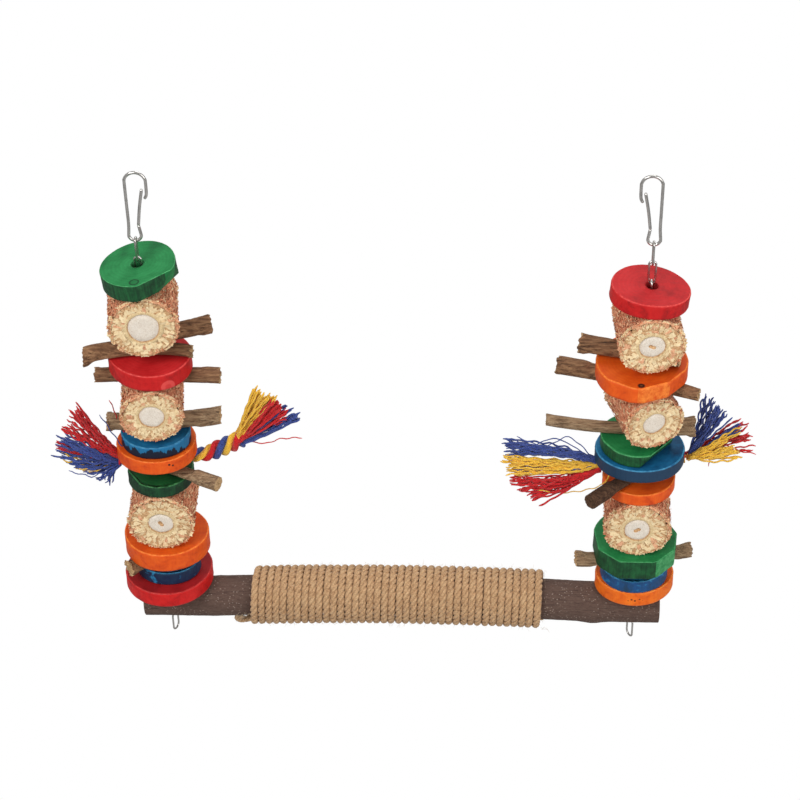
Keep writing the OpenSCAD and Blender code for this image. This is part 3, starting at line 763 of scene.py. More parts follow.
    def ring(self, fraction, z, inset, fuzz):
        """A ring of the surface, at a share of the way from the bore to the rim."""
        row = []
        for k in range(RIM_STEPS):
            a = 2 * math.pi * k / RIM_STEPS
            rim_x, rim_y = self.rim(a, z)
            wear = fbm((math.cos(a) * 9 + self.seed, math.sin(a) * 9, z * 0.12), 1.7, 2) if fuzz else 0.0
            pull = inset + fuzz * (0.5 + 0.5 * wear)
            f = fraction * (1 - pull / max(math.hypot(rim_x, rim_y), 1e-6))
            bore_x, bore_y = self.bore_r * math.cos(a), self.bore_r * math.sin(a)
            x, y = bore_x + (rim_x - bore_x) * f, bore_y + (rim_y - bore_y) * f
            p = self.tilt @ Vector((x, y, z + self.dip(fraction, x, y, z)))
            row.append(tuple(self.centre[i] + p[i] for i in range(3)))
        return row

    def dip(self, fraction, x, y, z):
        """The saw's unevenness: the faces lie a little lower away from their rim."""
        if fraction >= 0.97 or abs(z) <= self.t * 0.4:
            return 0.0
        depth = 0.07 * min(1.0, (0.97 - fraction) / 0.3)
        return -math.copysign(depth, z) * (1 + fbm((x * 0.6, y * 0.15 + self.seed, z), 1.0, 2))

    def layers(self):
        """From the bore over the lower face, the rim and the upper face back into the bore:
        share of the way to the rim, height, inset, roughness and material of each ring."""
        h = self.t / 2
        bevel = min(self.bevel, self.t * 0.16)
        smooth = self.rough * 0.4
        low = [(f, -h, 0.0, 0.0, FACE) for f in (0.0, 0.12, 0.3, 0.5, 0.68, 0.84, 0.94)]
        rim = [(1.0, -h, bevel, smooth, SIDE), (1.0, -h + 0.3 * bevel, 0.3 * bevel, smooth, SIDE),
               (1.0, -h + bevel, 0.0, smooth, SIDE)]
        rim += [(1.0, share * h, 0.0, self.rough, SIDE) for share in (-0.5, -0.17, 0.17, 0.5)]
        rim += [(1.0, h - bevel, 0.0, smooth, SIDE), (1.0, h - 0.45 * bevel, 0.2 * bevel, smooth, EDGE),
                (1.0, h, bevel, smooth, EDGE)]
        top = [(f, h, 0.0, 0.0, FACE) for f in (0.94, 0.84, 0.74, 0.62, 0.5, 0.38, 0.26, 0.14, 0.06, 0.0)]
        return low + rim + top + [(0.0, 0.0, 0.0, 0.0, FACE)]

    def face_mat(self, mark, k):
        """Part of the side may be freshly cut, and shows another material."""
        if mark == SIDE and self.bright and self.bright[0] < 360 * k / RIM_STEPS < self.bright[1]:
            return self.bright[2]
        return mark

    def build(self):
        layers = self.layers()
        verts = [p for layer in layers for p in self.ring(*layer[:4])]
        faces, mats = [], []
        for i in range(len(layers)):
            nxt = (i + 1) % len(layers)
            for k in range(RIM_STEPS):
                j = (k + 1) % RIM_STEPS
                faces.append((i * RIM_STEPS + k, i * RIM_STEPS + j, nxt * RIM_STEPS + j, nxt * RIM_STEPS + k))
                mats.append(self.face_mat(min(layers[i][4], layers[nxt][4]), k))
        looks = [self.face_material(), self.side_material(), self.edge_material()]
        piece = add_mesh(self.name + "_wood", verts, faces, looks, mats)
        put(piece, self.name, [self.name])


SLICES = [
    # This slice's face is a darker red: painted shade from the stack above
    Slice(LEFT, 0, "base_red", "red_shaded_face", [1, 0.96, 0.02, 20, 0.02, 0, 0], 1),
    Slice(LEFT, 1, "base_blue", "blue", [0.72, 0.95, 0.02, 80, 0, 0, 0], 2, paint="dark"),
    Slice(LEFT, 3, "low_orange", "orange", [0.96, 0.97, 0.02, 140, 0, 0, 0], 3),
    Slice(LEFT, 5, "low_green", "deep_green", [0.74, 0.98, 0.03, 30, -0.04, 0, 0], 4,
          flats=[(215, 0.93, 0.1)], streak=0.1),
    Slice(LEFT, 8, "mid_orange", "orange", [0.87, 0.98, 0.02, 60, 0, 0, 0], 5, bevel=0.7,
          flats=[(310, 0.95, 0.0)],
          pits=[((8.4, -17.6, 1.5), 0.9), ((10.0, -16.6, 0.6), 0.7), ((7.4, -18.1, 0.2), 0.6)]),
    Slice(LEFT, 9, "mid_blue", "blue", [0.76, 1, 0.02, 110, 0, 0, 0], 6, ring_pitch=2.6, paint="drip"),
    Slice(LEFT, 13, "upper_red", "red", [0.94, 0.92, 0.03, 200, -0.05, 0, 0], 7,
          knots=[((11.6, -17.2, -2.8), 3.8), ((-9.5, -18.0, 3.2), 1.7)]),
    Slice(LEFT, 17, "top_green", "green", [0.85, 1, 0.03, 250, -0.02, 0, -6], 8, streak=0.25, bevel=0.5,
          flats=[(308, 0.81, -0.02), (332, 0.83, -0.2)], knots=[((0.6, -15.4, 4.5), 2.7)],
          bright=(322, 350, FACE)),
    Slice(RIGHT, 0, "base_orange", "light_orange", [0.9, 0.85, 0.02, 10, -0.04, -0.08, 0], 9,
          pits=[((-3.0, -16.0, -0.8), 0.8), ((-1.2, -16.1, 0.2), 0.75), ((0.6, -16.1, -0.6), 0.8),
                ((3.0, -16.0, 0.4), 0.75), ((4.6, -15.9, -0.4), 0.7)]),
    Slice(RIGHT, 1, "base_blue", "blue", [0.76, 0.95, 0.02, 130, 0, 0, 0], 10, paint="patch"),
    Slice(RIGHT, 3, "low_green", "green", [0.96, 1, 0.01, 300, 0, 0, 0], 11, bevel=0.5, rough=0.15,
          flats=[(187, 0.92, 0.02), (228, 0.95, 0.03), (270, 0.92, 0.03), (316, 0.94, 0),
                 (352, 0.93, 0), (25, 0.92, 0)],
          bright=(294, 350, EDGE)),
    Slice(RIGHT, 5, "low_orange", "orange", [0.8, 0.98, 0.02, 45, 0, 0, 0], 12),
    Slice(RIGHT, 8, "mid_blue", "blue", [0.97, 0.96, 0.02, 70, 0.02, 0, 0], 13, ring_pitch=2.8),
    Slice(RIGHT, 9, "mid_green", "green", [0.78, 1, 0.01, 190, 0.14, 0, 0], 14, rough=0.2,
          flats=[(215, 0.95, 0.02), (320, 0.77, -0.2)]),
    Slice(RIGHT, 13, "upper_orange", "orange", [1, 1, 0.02, 330, 0.1, 0, 0], 15, rough=0.15,
          flats=[(240, 0.96, 0.03), (293, 0.9, 0.02), (320, 0.89, 0)], pits=[((-3.4, -20.2, 4.0), 2.1)],
          bright=(262, 304, EDGE)),
    Slice(RIGHT, 16, "top_red", "red", [0.83, 0.98, 0.03, 100, 0.03, 0, 6], 16, ring_pitch=2.2),
]
for wood in SLICES:
    wood.build()

# Corncob pieces
CHAFF_ROWS = 15
COB_SIDES = 120
COB_STEPS = 44
TEETH = 46
SIDE_FLAKES = 2300
RIM_FLAKES = 170
PRESSED = 0.72


class Cob:
    """A sawn piece of corncob that lies across its chain: a core, and the papery chaff on it.
    Below and above are the directions of the twigs that are sunk into it."""

    def __init__(self, side, n, word, yaw, seed, below=None, above=None, pith=0.4, mark=False):
        self.name = f"{side}_{word}_cob"
        self.seed, self.pith, self.mark = seed, pith, mark
        self.local = random.Random(seed)
        self.r, self.half = HEIGHTS[side][n] / 2, COB_LEN / 2
        c, s = math.cos(math.radians(yaw)), math.sin(math.radians(yaw))
        self.ax, self.ex, self.ez = np.array([-s, c, 0.0]), np.array([c, s, 0.0]), np.array([0.0, 0.0, 1.0])
        self.origin = np.array([SIDE_X[side], 0.0, middle(side, n)])
        self.grooves = [(way, math.radians(angle)) for way, angle in ((-1, below), (1, above))
                        if angle is not None]
        self.body = self.name + ("_group" if self.grooves else "")
        self.flakes = Builder()

    def over_twig(self, q, room):
        """The sides, -1 or 1, on which a point lies over the groove of a twig."""
        return [way for way, angle in self.grooves
                if abs(-math.sin(angle) * q[0] + math.cos(angle) * q[1]) < TWIG_R + room
                and q[2] * way > self.r - COB_BITE - room]

    def at(self, axial, phi, rho):
        """A point of the cob, outside the grooves."""
        q = self.ax * axial + rho * across(self.ex, self.ez, phi)
        for way in self.over_twig(q, 0.0):
            q = np.array([q[0], q[1], (self.r - COB_BITE) * way])
        return self.origin + q

    def by_fitting(self, *points):
        """Whether a point lies by the chain or by a twig's groove."""
        return any(math.hypot(q[0], q[1]) < 6.0 or self.over_twig(q, 1.0)
                   for q in (p - self.origin for p in points))

    def skin_r(self, phi, axial, ragged=0.0):
        """Radius of the side, with two grains to each row of chaff."""
        pair = 0.5 + 0.5 * math.cos(CHAFF_ROWS * phi)
        odd = int(phi / (2 * math.pi) * CHAFF_ROWS) % 2
        step = 0.5 + 0.5 * math.cos(2 * math.pi * axial / 4.1 + math.pi * odd)
        rough = fbm((math.cos(phi) * 6 + self.seed, math.sin(phi) * 6, axial * 0.35), 1.3)
        return self.r * (0.965 - 0.03 * pair * step) + 0.4 * rough - ragged

    def side_row(self, i):
        a = -self.half + COB_LEN * i / COB_STEPS
        near = max(0.0, 1 - (self.half - abs(a)) / 1.5)
        angles = [2 * math.pi * k / COB_SIDES for k in range(COB_SIDES)]
        return [self.at(a, t, min(self.r - 0.1, self.skin_r(t, a, 0.9 * near))).tolist() for t in angles]

    def end_steps(self):
        """From the rim to the middle: share of the radius, material, height over the sawn face."""
        pith, mark = self.pith, self.mark
        # The rings under the petals take the dark base: painted shade beneath them
        return ((0.95, END_BROWN_AND_SHADE, -0.3), (0.9, END_BROWN_AND_SHADE, -0.1), (0.82, END_BROWN_AND_SHADE, -0.1),
                (0.74, END_BROWN_AND_SHADE, -0.1), (0.66, END_BROWN_AND_SHADE, 0.0), (0.59, END_BROWN_AND_SHADE, 0.0),
                (pith + 0.14, END_BROWN_AND_SHADE, 0.1), (pith + 0.08, WOODY, 0.25), (pith + 0.03, WOODY, 0.3),
                (pith, END_BROWN_AND_SHADE, -0.45), (pith - 0.02, PITH, -0.1), (0.3, PITH, 0.1), (0.22, PITH, 0.12),
                (0.12, PITH, 0.08), (0.085, PITH, 0.06),
                (0.065, END_BROWN_AND_SHADE if mark else PITH, -0.4 if mark else 0.05))

    def end_ring(self, end, share, lift, teeth):
        row = []
        for k in range(COB_SIDES):
            phi = 2 * math.pi * k / COB_SIDES
            c, s = math.cos(phi), math.sin(phi)
            f, dz = share, lift
            if share > self.pith + 0.1:
                tooth = teeth[int(phi / (2 * math.pi) * TEETH) % TEETH]
                f += 0.02 * fbm((c * 4, s * 4, self.seed + end), 1.5) - (0.08 * tooth if share > 0.8 else 0)
                dz += 0.5 * fbm((c * share * 12 + self.seed, s * share * 12, end), 1.0)
            else:
                f *= 1 + 0.03 * math.sin(2 * phi + self.seed) \
                    + 0.05 * fbm((c * 1.6 + self.seed, s * 1.6, end * 3), 1.0, 2)
                dz += 0.1 * fbm((c * share * 24 + self.seed, s * share * 24, end * 5), 1.4)
            if share < 0.15 and self.mark:
                f *= 1.0 + 0.35 * math.cos(2 * phi + self.seed) + 0.2 * fbm((c * 2, s * 2, self.seed), 1.0)
            row.append(self.at(end * (self.half - 0.5 + min(dz, 0.45)), phi, f * (self.r - 0.15)).tolist())
        return row

    def build_core(self):
        out = Builder()
        rows = [self.side_row(i) for i in range(COB_STEPS + 1)]
        out.grid(rows[:5], CHAFF)
        out.grid(rows[4:-4], PINK)
        out.grid(rows[-5:], CHAFF)
        teeth = [self.local.uniform(0.0, 1.0) for _ in range(TEETH)]
        for end, last in ((-1, rows[0]), (1, rows[-1])):
            for share, mat, lift in self.end_steps():
                ring = self.end_ring(end, share, lift, teeth)
                out.grid([last, ring], mat)
                last = ring
            hub = self.at(end * (self.half - (1.3 if self.mark else 0.45)), 0, 0).tolist()
            out.fan(len(out.verts) - COB_SIDES, COB_SIDES, hub, END_BROWN_AND_SHADE if self.mark else PITH)
        core = out.build(self.name + "_core", COB_MATS, closed=False)
        clean(core.data, join=True)
        put(core, self.body, [self.name])

    def flake(self, root, along, out_dir, length, width, mat, curl, blunt=0.3, roll=0.5):
        """A curled scale of chaff with a torn tip, as two faces."""
        side_dir = unit(np.cross(along, out_dir))
        tilt = self.local.uniform(-roll, roll)
        side_dir = across(side_dir, out_dir, tilt)
        tip = root + along * length + out_dir * curl
        mid = root + along * length * 0.55 + out_dir * curl * 0.85
        torn = self.local.uniform(-0.25, 0.25)
        points = [root - side_dir * width * 0.35, root + side_dir * width * 0.35,
                  mid + side_dir * width * 0.5, mid - side_dir * width * 0.5,
                  tip + side_dir * width * blunt - along * length * max(0.0, torn),
                  tip - along * length * self.local.uniform(0.05, 0.25),
                  tip - side_dir * width * blunt * 0.8 + along * length * min(0.0, torn)]
        b = len(self.flakes.verts)
        self.flakes.verts.extend(v.tolist() for v in points)
        self.flakes.faces.extend([(b, b + 1, b + 2, b + 3), (b + 3, b + 2, b + 4, b + 5, b + 6)])
        self.flakes.mats.extend([mat, mat])

    def directions(self, phi):
        """Outwards and round the cob at an angle."""
        return across(self.ex, self.ez, phi), across(self.ex, self.ez, phi + math.pi / 2)

    def side_flakes(self):
        """Narrow scales all over the side, which lean alike where they are close."""
        pick = self.local
        for _ in range(SIDE_FLAKES):
            phi = pick.uniform(0, 2 * math.pi)
            a = pick.uniform(-self.half + 0.6, self.half - 0.8)
            radial, around = self.directions(phi)
            room = self.r - 0.05 if abs(math.sin(phi)) > PRESSED else self.r + 0.75
            lean = 1.6 * fbm((math.cos(phi), math.sin(phi), 0.06 * a + self.seed), 1.0, 2)
            lean += pick.uniform(-0.4, 0.4)
            along = unit(across(self.ax, around, lean) * pick.choice((-1, 1)))
            length = pick.uniform(1.5, 4.2)
            curl = pick.uniform(0.3, 1.1)
            root = self.at(a, phi, min(self.skin_r(phi, a) - 0.2, room - curl - 0.15))
            tip = root + along * length
            if self.by_fitting(root, tip) or abs(np.dot(tip - self.origin, self.ax)) > self.half - 0.1:
                continue
            self.flake(root, along, radial, length, pick.uniform(0.4, 0.95),
                       pick.choice((CHAFF, CHAFF, CHAFF, PINK, PINK, CHAFF, PINK, CREAM)), curl)

    def rim_flakes(self, end):
        """Chaff that spills over the rim of a sawn end."""
        pick = self.local
        for _ in range(RIM_FLAKES):
            phi = pick.uniform(0, 2 * math.pi)
            pressed = abs(math.sin(phi)) > PRESSED
            radial, around = self.directions(phi)
            spill = 0.0 if pressed else pick.uniform(0.1, 0.7)
            along = unit(self.ax * end + radial * spill + around * pick.uniform(-0.7, 0.7))
            a = self.half - pick.uniform(0.5, 2.4)
            reach = (self.half + 0.3 - a) / max(0.3, abs(np.dot(along, self.ax)))
            length = min(pick.uniform(1.3, 2.6), reach)
            root = self.at(end * a, phi, self.skin_r(phi, end * a) - (0.9 if pressed else 0.5))
            if not self.by_fitting(root, root + along * length):
                self.flake(root, along, radial, length, pick.uniform(0.6, 1.3),
                           pick.choice((CHAFF, CHAFF, PINK, CREAM, CREAM)), pick.uniform(0.1, 0.35))

    def petal_colour(self, ring, phi, end):
        """Cream, with salmon patches toward the rim."""
        warm = fbm((math.cos(phi) * 1.4, math.sin(phi) * 1.4, self.seed + 7 * end), 1.0, 2)
        choices = (CREAM,) * 11 + (CHAFF,)
        if ring == 0:
            choices = (CHAFF, CHAFF, PINK, CREAM) if warm > 0.04 else (CREAM, CREAM, CHAFF, CREAM)
        elif ring == 1:
            choices = (CHAFF, CREAM) * 2 if warm > 0.1 else (CREAM,) * 4 + (CHAFF,)
        return self.local.choice(choices)

    def petals(self, end):
        """Pale torn petals in four rings round the pith: where each ring starts and how far it
        reaches, in shares of the radius, then its count and its height."""
        pick = self.local
        rings = ((0.82, 0.2, 72, 0.0), (0.7, 0.21, 62, 0.25), (0.58, 0.2, 54, 0.45),
                 (self.pith + 0.06, 0.16, 40, 0.6))
        for ring, (start, reach, count, lift) in enumerate(rings):
            for k in range(count):
                phi = 2 * math.pi * (k + pick.uniform(-0.5, 0.5)) / count
                radial, around = self.directions(phi)
                room = self.r + (0.0 if abs(math.sin(phi)) > 0.75 else 0.7)
                from_r = self.r * (start + pick.uniform(-0.05, 0.05))
                length = min(self.r * reach * pick.uniform(0.8, 1.5), room - from_r)
                along = unit(radial + around * pick.uniform(-0.5, 0.5))
                root = self.at(end * (self.half - 1.1 + lift + pick.uniform(-0.1, 0.15)), phi, from_r)
                if self.by_fitting(root + along * length, root) or length < 0.4:
                    continue
                self.flake(root, along, self.ax * end, length, pick.uniform(1.6, 3.6),
                           self.petal_colour(ring, phi, end), pick.uniform(-0.1, 0.6) * (1 - 0.7 * lift),
                           0.46, 0.3)

    def build(self):
        self.build_core()
        self.side_flakes()
        for end in (-1, 1):
            self.rim_flakes(end)
            self.petals(end)
        chaff = self.flakes.build(self.name + "_chaff", COB_MATS[:3], smooth=False, closed=False)
        put(chaff, self.body, ())


COBS = [
    Cob(LEFT, 4, "low", 2, 21, pith=0.36, mark=True),
    Cob(LEFT, 11, "mid", 6, 22, 5, 1),
    Cob(LEFT, 16, "top", 8, 23, 20, pith=0.45),
    Cob(RIGHT, 4, "low", -2, 24, pith=0.38, mark=True),
    Cob(RIGHT, 11, "mid", 17, 25, 0, -20, pith=0.38),
    Cob(RIGHT, 15, "top", 4, 26, -14, pith=0.38, mark=True),
]
for cob in COBS:
    cob.build()

# Twigs
TWIG_SIDES = 30
TWIG_STEPS = 84


class Twig:
    """A twig across its chain, shaved flat where it lies between pieces. Reach, bend and lift are in
    twig radii. Rest is 1 on the piece below, -1 under the one above. Low and high say how far its
    underside and top are flat, in slice radii, on the left and the right."""

    def __init__(self, side, n, word, group, rest, reach, thick, yaw, bend, lift, low, high, mat, seed,
                 ragged, sawn=TWIG_WOOD):
        self.name = f"{side}_{word}_twig"
        self.body = f"{side}_{group}_group" if group else self.name
        self.reach, self.thick, self.bend, self.lift = reach, thick, bend, lift
        self.low, self.high, self.ragged = low, high, ragged
        self.mats = [mat, sawn]
        self.span = TWIG_R * (reach[0] + reach[1])
        slot = HEIGHTS[side][n]
        self.half = (TWIG_FLAT if slot == TWIG_SLOT else slot) / 2
        z = seat(side, n) + self.half if rest > 0 else seat(side, n) + slot - self.half
        self.middle = (SIDE_X[side], 0, z)
        self.turn = (math.cos(math.radians(yaw)), math.sin(math.radians(yaw)))
        self.off = random.Random(seed).uniform(0, 50)

    def radius(self, u):
        first, second, third = self.thick
        if u < 0.5:
            return TWIG_R * (first + (second - first) * 2 * u)
        return TWIG_R * (second + (third - second) * (2 * u - 1))

    def swell(self, x, shares):
        """0 where the twig is shaved flat, 1 where it is round."""
        end = 0 if x < 0 else 1
        start = SLICE_R * shares[end] + 1.0
        return ease((abs(x) - start) / max(1.0, min(0.8 * TWIG_R, 0.7 * (TWIG_R * self.reach[end] - start))))

    def shaved(self, r, x, shares, shrink):
        if r <= self.half * shrink:
            return r
        return min(r, self.half + (r - self.half) * self.swell(x, shares))

    def point(self, u, k, shrink=1.0, push=0.0):
        x = u * self.span - TWIG_R * self.reach[0]
        a = 2 * math.pi * k / TWIG_SIDES
        c, s = math.cos(a), math.sin(a)
        r = self.radius(u) * shrink
        tall = self.shaved(r, x, self.high if s > 0 else self.low, shrink)
        skin = 1 - 0.05 * (1 + fbm((x * 0.09, c * 2.2 + self.off, s * 2.2), 1.6, 3))
        skin -= 0.06 * max(0.0, fbm((x * 0.45, c * 5 + self.off, s * 5), 1.4, 2))
        y = TWIG_R * self.bend * (2 * x / self.span) ** 2 + r * c * skin
        free = max(0, abs(x) - SLICE_R * max(self.low))
        z = TWIG_R * self.lift * math.copysign(1, x) * free / self.span + tall * s * skin
        x += push
        cos_yaw, sin_yaw = self.turn
        return (self.middle[0] + cos_yaw * x - sin_yaw * y, sin_yaw * x + cos_yaw * y, self.middle[2] + z)

    def jag(self, end, k):
        """How far the torn end stands out or back at step k of its round."""
        t = 2 * math.pi * k / TWIG_SIDES
        return self.ragged[end] * (1 + 1.6 * fbm((math.cos(t) * 2, math.sin(t) * 2, self.off + 9 * end), 1.5))

    def build(self):
        out = Builder()
        steps = range(TWIG_SIDES)
        jags = [[self.jag(end, k) for k in steps] for end in (0, 1)]
        rows = []
        for i in range(TWIG_STEPS + 1):
            u = i / TWIG_STEPS
            near = max(0.0, 1 - u * 14), max(0.0, 1 - (1 - u) * 14)
            rows.append([self.point(u, k, 1.0, 1.4 * (near[0] * jags[0][k] - near[1] * jags[1][k]))
                         for k in steps])
        out.grid(rows, 0)
        for end, sign in ((0, 1), (1, -1)):
            shell = [rows[-end]]
            for shrink, extra in ((0.9, 0.05), (0.75, 0.5), (0.5, 0.25), (0.25, 0.6), (0.05, 0.4)):
                pits = [extra * (0.6 + fbm((k * 0.7 + self.off, shrink * 9, end), 1.0)) for k in steps]
                shell.append([self.point(float(end), k, shrink, sign * (1.4 * jags[end][k] + pits[k]))
                              for k in steps])
            out.grid(shell, 1, caps=(False, True))
        piece = out.build(self.name + "_stick", self.mats)
        clean(piece.data, join=True)
        put(piece, self.body, [self.name])


TWIGS = [
    Twig(LEFT, 2, "base", "", 1, [4.7, 2.2], [0.9, 0.8, 0.7], 38, 0, 0, [0.75, 0.75], [0.98, 0.98],
         TWIG_BARK, 31, (1.2, 0.5)),
    Twig(LEFT, 6, "rope", "rope", 1, [1.4, 6.6], [0.7, 0.75, 0.75], -26, 0, 0, [0.8, 0.8], [0.9, 0.75],
         TWIG_PALE, 32, (0.4, 0.3)),
    Twig(LEFT, 10, "mid", "mid_cob", 1, [4.7, 6.3], [0.95, 0.9, 0.9], 5, 0.5, 0, [0.78, 0.78],
         [0.45, 0.45], TWIG_PALE, 33, (1.6, 0.9)),
    Twig(LEFT, 12, "upper", "mid_cob", -1, [5.2, 6.7], [0.75, 0.8, 0.8], 1, -0.2, 0, [0.45, 0.45], [1, 1],
         TWIG_BARK, 34, (1.1, 1.0)),
    Twig(LEFT, 14, "front", "top_cob", 1, [5.8, 4.4], [1, 0.9, 0.8], 3, -0.9, 0, [1, 1], [0.45, 1],
         TWIG_BARK, 35, (0.8, 1.5)),
    Twig(LEFT, 15, "rear", "top_cob", 1, [1.5, 6.1], [0.9, 0.9, 0.95], 20, 0, 0.6, [1, 1], [0.45, 0.45],
         TWIG_BARK, 36, (0.3, 0.5)),
    Twig(RIGHT, 2, "base", "", 1, [5.8, 5.8], [0.85, 0.8, 0.8], 8, 0.4, 0, [0.78, 0.78], [0.97, 0.97],
         TWIG_PALE, 37, (0.8, 0.8)),
    Twig(RIGHT, 6, "rope", "rope", 1, [6.8, 1.5], [0.75, 0.75, 0.7], 45, 0, 0, [0.82, 0.82], [0.68, 0.68],
         TWIG_DARK, 38, (0.5, 0.3), DARK_END),
    Twig(RIGHT, 10, "mid", "mid_cob", 1, [8.9, 5], [0.6, 0.6, 1.05], 0, 0.7, 0, [0.86, 0.86],
         [0.45, 0.45], TWIG_PALE, 39, (0.5, 0.7)),
    Twig(RIGHT, 12, "upper", "mid_cob", -1, [8.4, 5.3], [0.9, 0.85, 0.6], -20, -0.3, 0, [0.45, 0.45],
         [1.1, 1.1], TWIG_BARK, 40, (1.0, 0.8)),
    Twig(RIGHT, 14, "top", "top_cob", 1, [6.4, 3.3], [1, 0.9, 0.85], -14, 0, -0.5, [1.1, 1.1],
         [0.45, 0.45], TWIG_BARK, 41, (1.2, 1.0)),
]
for twig in TWIGS:
    twig.build()

# Perch
PERCH_SIDES = 64
PERCH_STEPS = 220
NODE_X = 101
SCAR_X = -96


def bow(x):
    return max(0.0, 1 - (x / (HOLE_X - SLICE_R)) ** 2)


def perch_axis(x):
    """Height of the branch's middle at x."""
    return PERCH_Z + PERCH_ARCH * bow(x)


def perch_ring(x):
    """A ring of the bark: knobbly, with a node under its right end and a scar on its left."""
    r = PERCH_R * (1 + 0.03 * math.sin(math.radians(540 * x / PERCH_LEN + 40)) * bow(x))
    row = []
    for k in range(PERCH_SIDES):
        a = 2 * math.pi * k / PERCH_SIDES
        y, z = math.cos(a), math.sin(a)
        skin = -0.25 - 0.3 * abs(fbm((x * 0.035, y * 3.2, z * 3.2), 1.5, 3))
        skin += 0.12 * fbm((x * 0.4, y * 4, z * 4), 1.6, 2)
        node = math.exp(-((x - NODE_X) / 5) ** 2) * max(0.0, -z * 0.9 - y * 0.3) * 0.9
        scar = math.exp(-((x - SCAR_X) / 2.2) ** 2) * 0.3
        q = r + skin + node + scar * max(0, z)
        row.append((x, q * y, perch_axis(x) + q * z))
    return row


def end_wood():
    """The branch's sawn end: rings about a dark pith, inside a thin line of bark."""
    g = Graph("perch_end", (0, 0, PERCH_Z), (0, math.pi / 2, 0))
    rings = g.rings(2.1, 2.2)
    fine = g.noise(0.9, 4, 0.7)
    col = g.ramp(rings, [(0.15, rgb(150, 112, 76)), (0.75, rgb(216, 184, 138))])
    col = g.tint(col, g.steps(fine, 0.5, 0.7), 0.4, rgb(164, 124, 86))
    col = g.tint(col, g.near_axis(1.6, 0.8), 0.8, rgb(118, 82, 54))
    col = g.mix(g.near_axis(10.7, 10.1), rgb(92, 66, 52), col)
    return g.finish(col, 0.8, [(rings, 0.3, 0.2), (fine, 0.4, 0.3)])


def drill_hole(piece, x, mat):
    """Cuts the hole for a chain through the branch."""
    bit = Builder()
    angles = np.linspace(0, 2 * math.pi, 24, endpoint=False)
    bit.grid([[(x + BORE_R * math.cos(t), BORE_R * math.sin(t), z) for t in angles]
              for z in (PERCH_Z - 20, PERCH_Z + 20)], 0, caps=(True, True))
    tool = bit.build("drill", [mat])
    cut = piece.modifiers.new("hole", "BOOLEAN")
    cut.operation = "DIFFERENCE"
    cut.solver = "EXACT"
    cut.object = tool
    bpy.context.view_layer.objects.active = piece
    bpy.ops.object.modifier_apply(modifier=cut.name)
    bpy.data.objects.remove(tool)


def build_perch():
    out = Builder()
    rows = [perch_ring(PERCH_LEN * (i / PERCH_STEPS - 0.5)) for i in range(PERCH_STEPS + 1)]
    out.grid(rows, 0)
    for base, sign in ((rows[0], 1), (rows[-1], -1)):
        x, cz = base[0][0], perch_axis(base[0][0])
        shell = [base]
        for shrink, depth in ((0.97, -0.25), (0.9, -0.05), (0.7, 0.0), (0.4, 0.02), (0.1, 0.0)):
            shell.append([(x + sign * depth, p[1] * shrink, cz + (p[2] - cz) * shrink) for p in base])
        out.grid(shell, 1, caps=(False, True))
    sawn = end_wood()
    piece = out.build("perch_branch", [PERCH_BARK, sawn])
    clean(piece.data, join=True)
    for x in SIDE_X.values():
        drill_hole(piece, x, sawn)
    put(piece, "perch_group", ["perch"])


build_perch()

# Jute winding: about forty turns of three-ply twine
WRAP_FROM, WRAP_TO = -80.0, 76.5
WRAP_TURNS = 40
TURN_STEPS = 92
TWINE_R = 2.1
PLY_R = 0.56
PLY_OFF = 0.44
PLY_LAY = 10.6
TAIL_STEPS = 70
TAIL_FIBRES = 34
FUZZ_R = 15.1
FUZZ_HAIRS = 900
LOOSE_FIBRES = 30


def lay_plies(builder, path, ups, outs, grow):
    """Three plies wound round a path; ups and outs are the twine's own cross directions."""
    run = run_along(np.asarray(path, float))
    for ply in range(3):
        rows = []
        for p, u, v, s, size in zip(path, ups, outs, run, grow):
            twist = 2 * math.pi * (ply / 3 - s / PLY_LAY)
            centre = p + PLY_OFF * TWINE_R * size * across(u, v, twist)
            thick = PLY_R * TWINE_R * size * (1 + 0.22 * noise.noise(Vector((s * 0.6, ply * 7.3, 1.9))))
            rows.append([(centre + thick * (1.05 if k % 2 else 0.95)
                          * across(u, v, 2 * math.pi * k / 8 + twist)).tolist() for k in range(8)])
        builder.grid(rows, 0, caps=(True, True))


def winding():
    """The twine's path round the branch, with the direction along the branch and outwards."""
    path, outs = [], []
    total = WRAP_TURNS * TURN_STEPS
    for i in range(total + 1):
        a = 2 * math.pi * i / TURN_STEPS
        x = WRAP_FROM + TWINE_R + (WRAP_TO - WRAP_FROM - 2 * TWINE_R) * i / total
        x += 0.25 * noise.noise(Vector((i * 0.011, 3.1, 0.7)))
        out_dir = np.array([0.0, -math.sin(a), -math.cos(a)])
        core = PERCH_R * 1.03 + 0.14 + TWINE_R + 0.2 * noise.noise(Vector((i * 0.03, 9.1, 2.2)))
        path.append(np.array([x, 0, perch_axis(x)]) + core * out_dir)
        outs.append(out_dir)
    return path, [np.array([1.0, 0, 0])] * len(path), outs


def hair(builder, start, direction, length, bend, radii, mat=0, reach=1.0):
    """A thin fibre that bends on its way."""
    points = [start, start + direction * length * 0.5 + bend, start + direction * length * reach]
    builder.grid(tube_rows(smooth_path(points, len(radii)), radii, 3), mat)


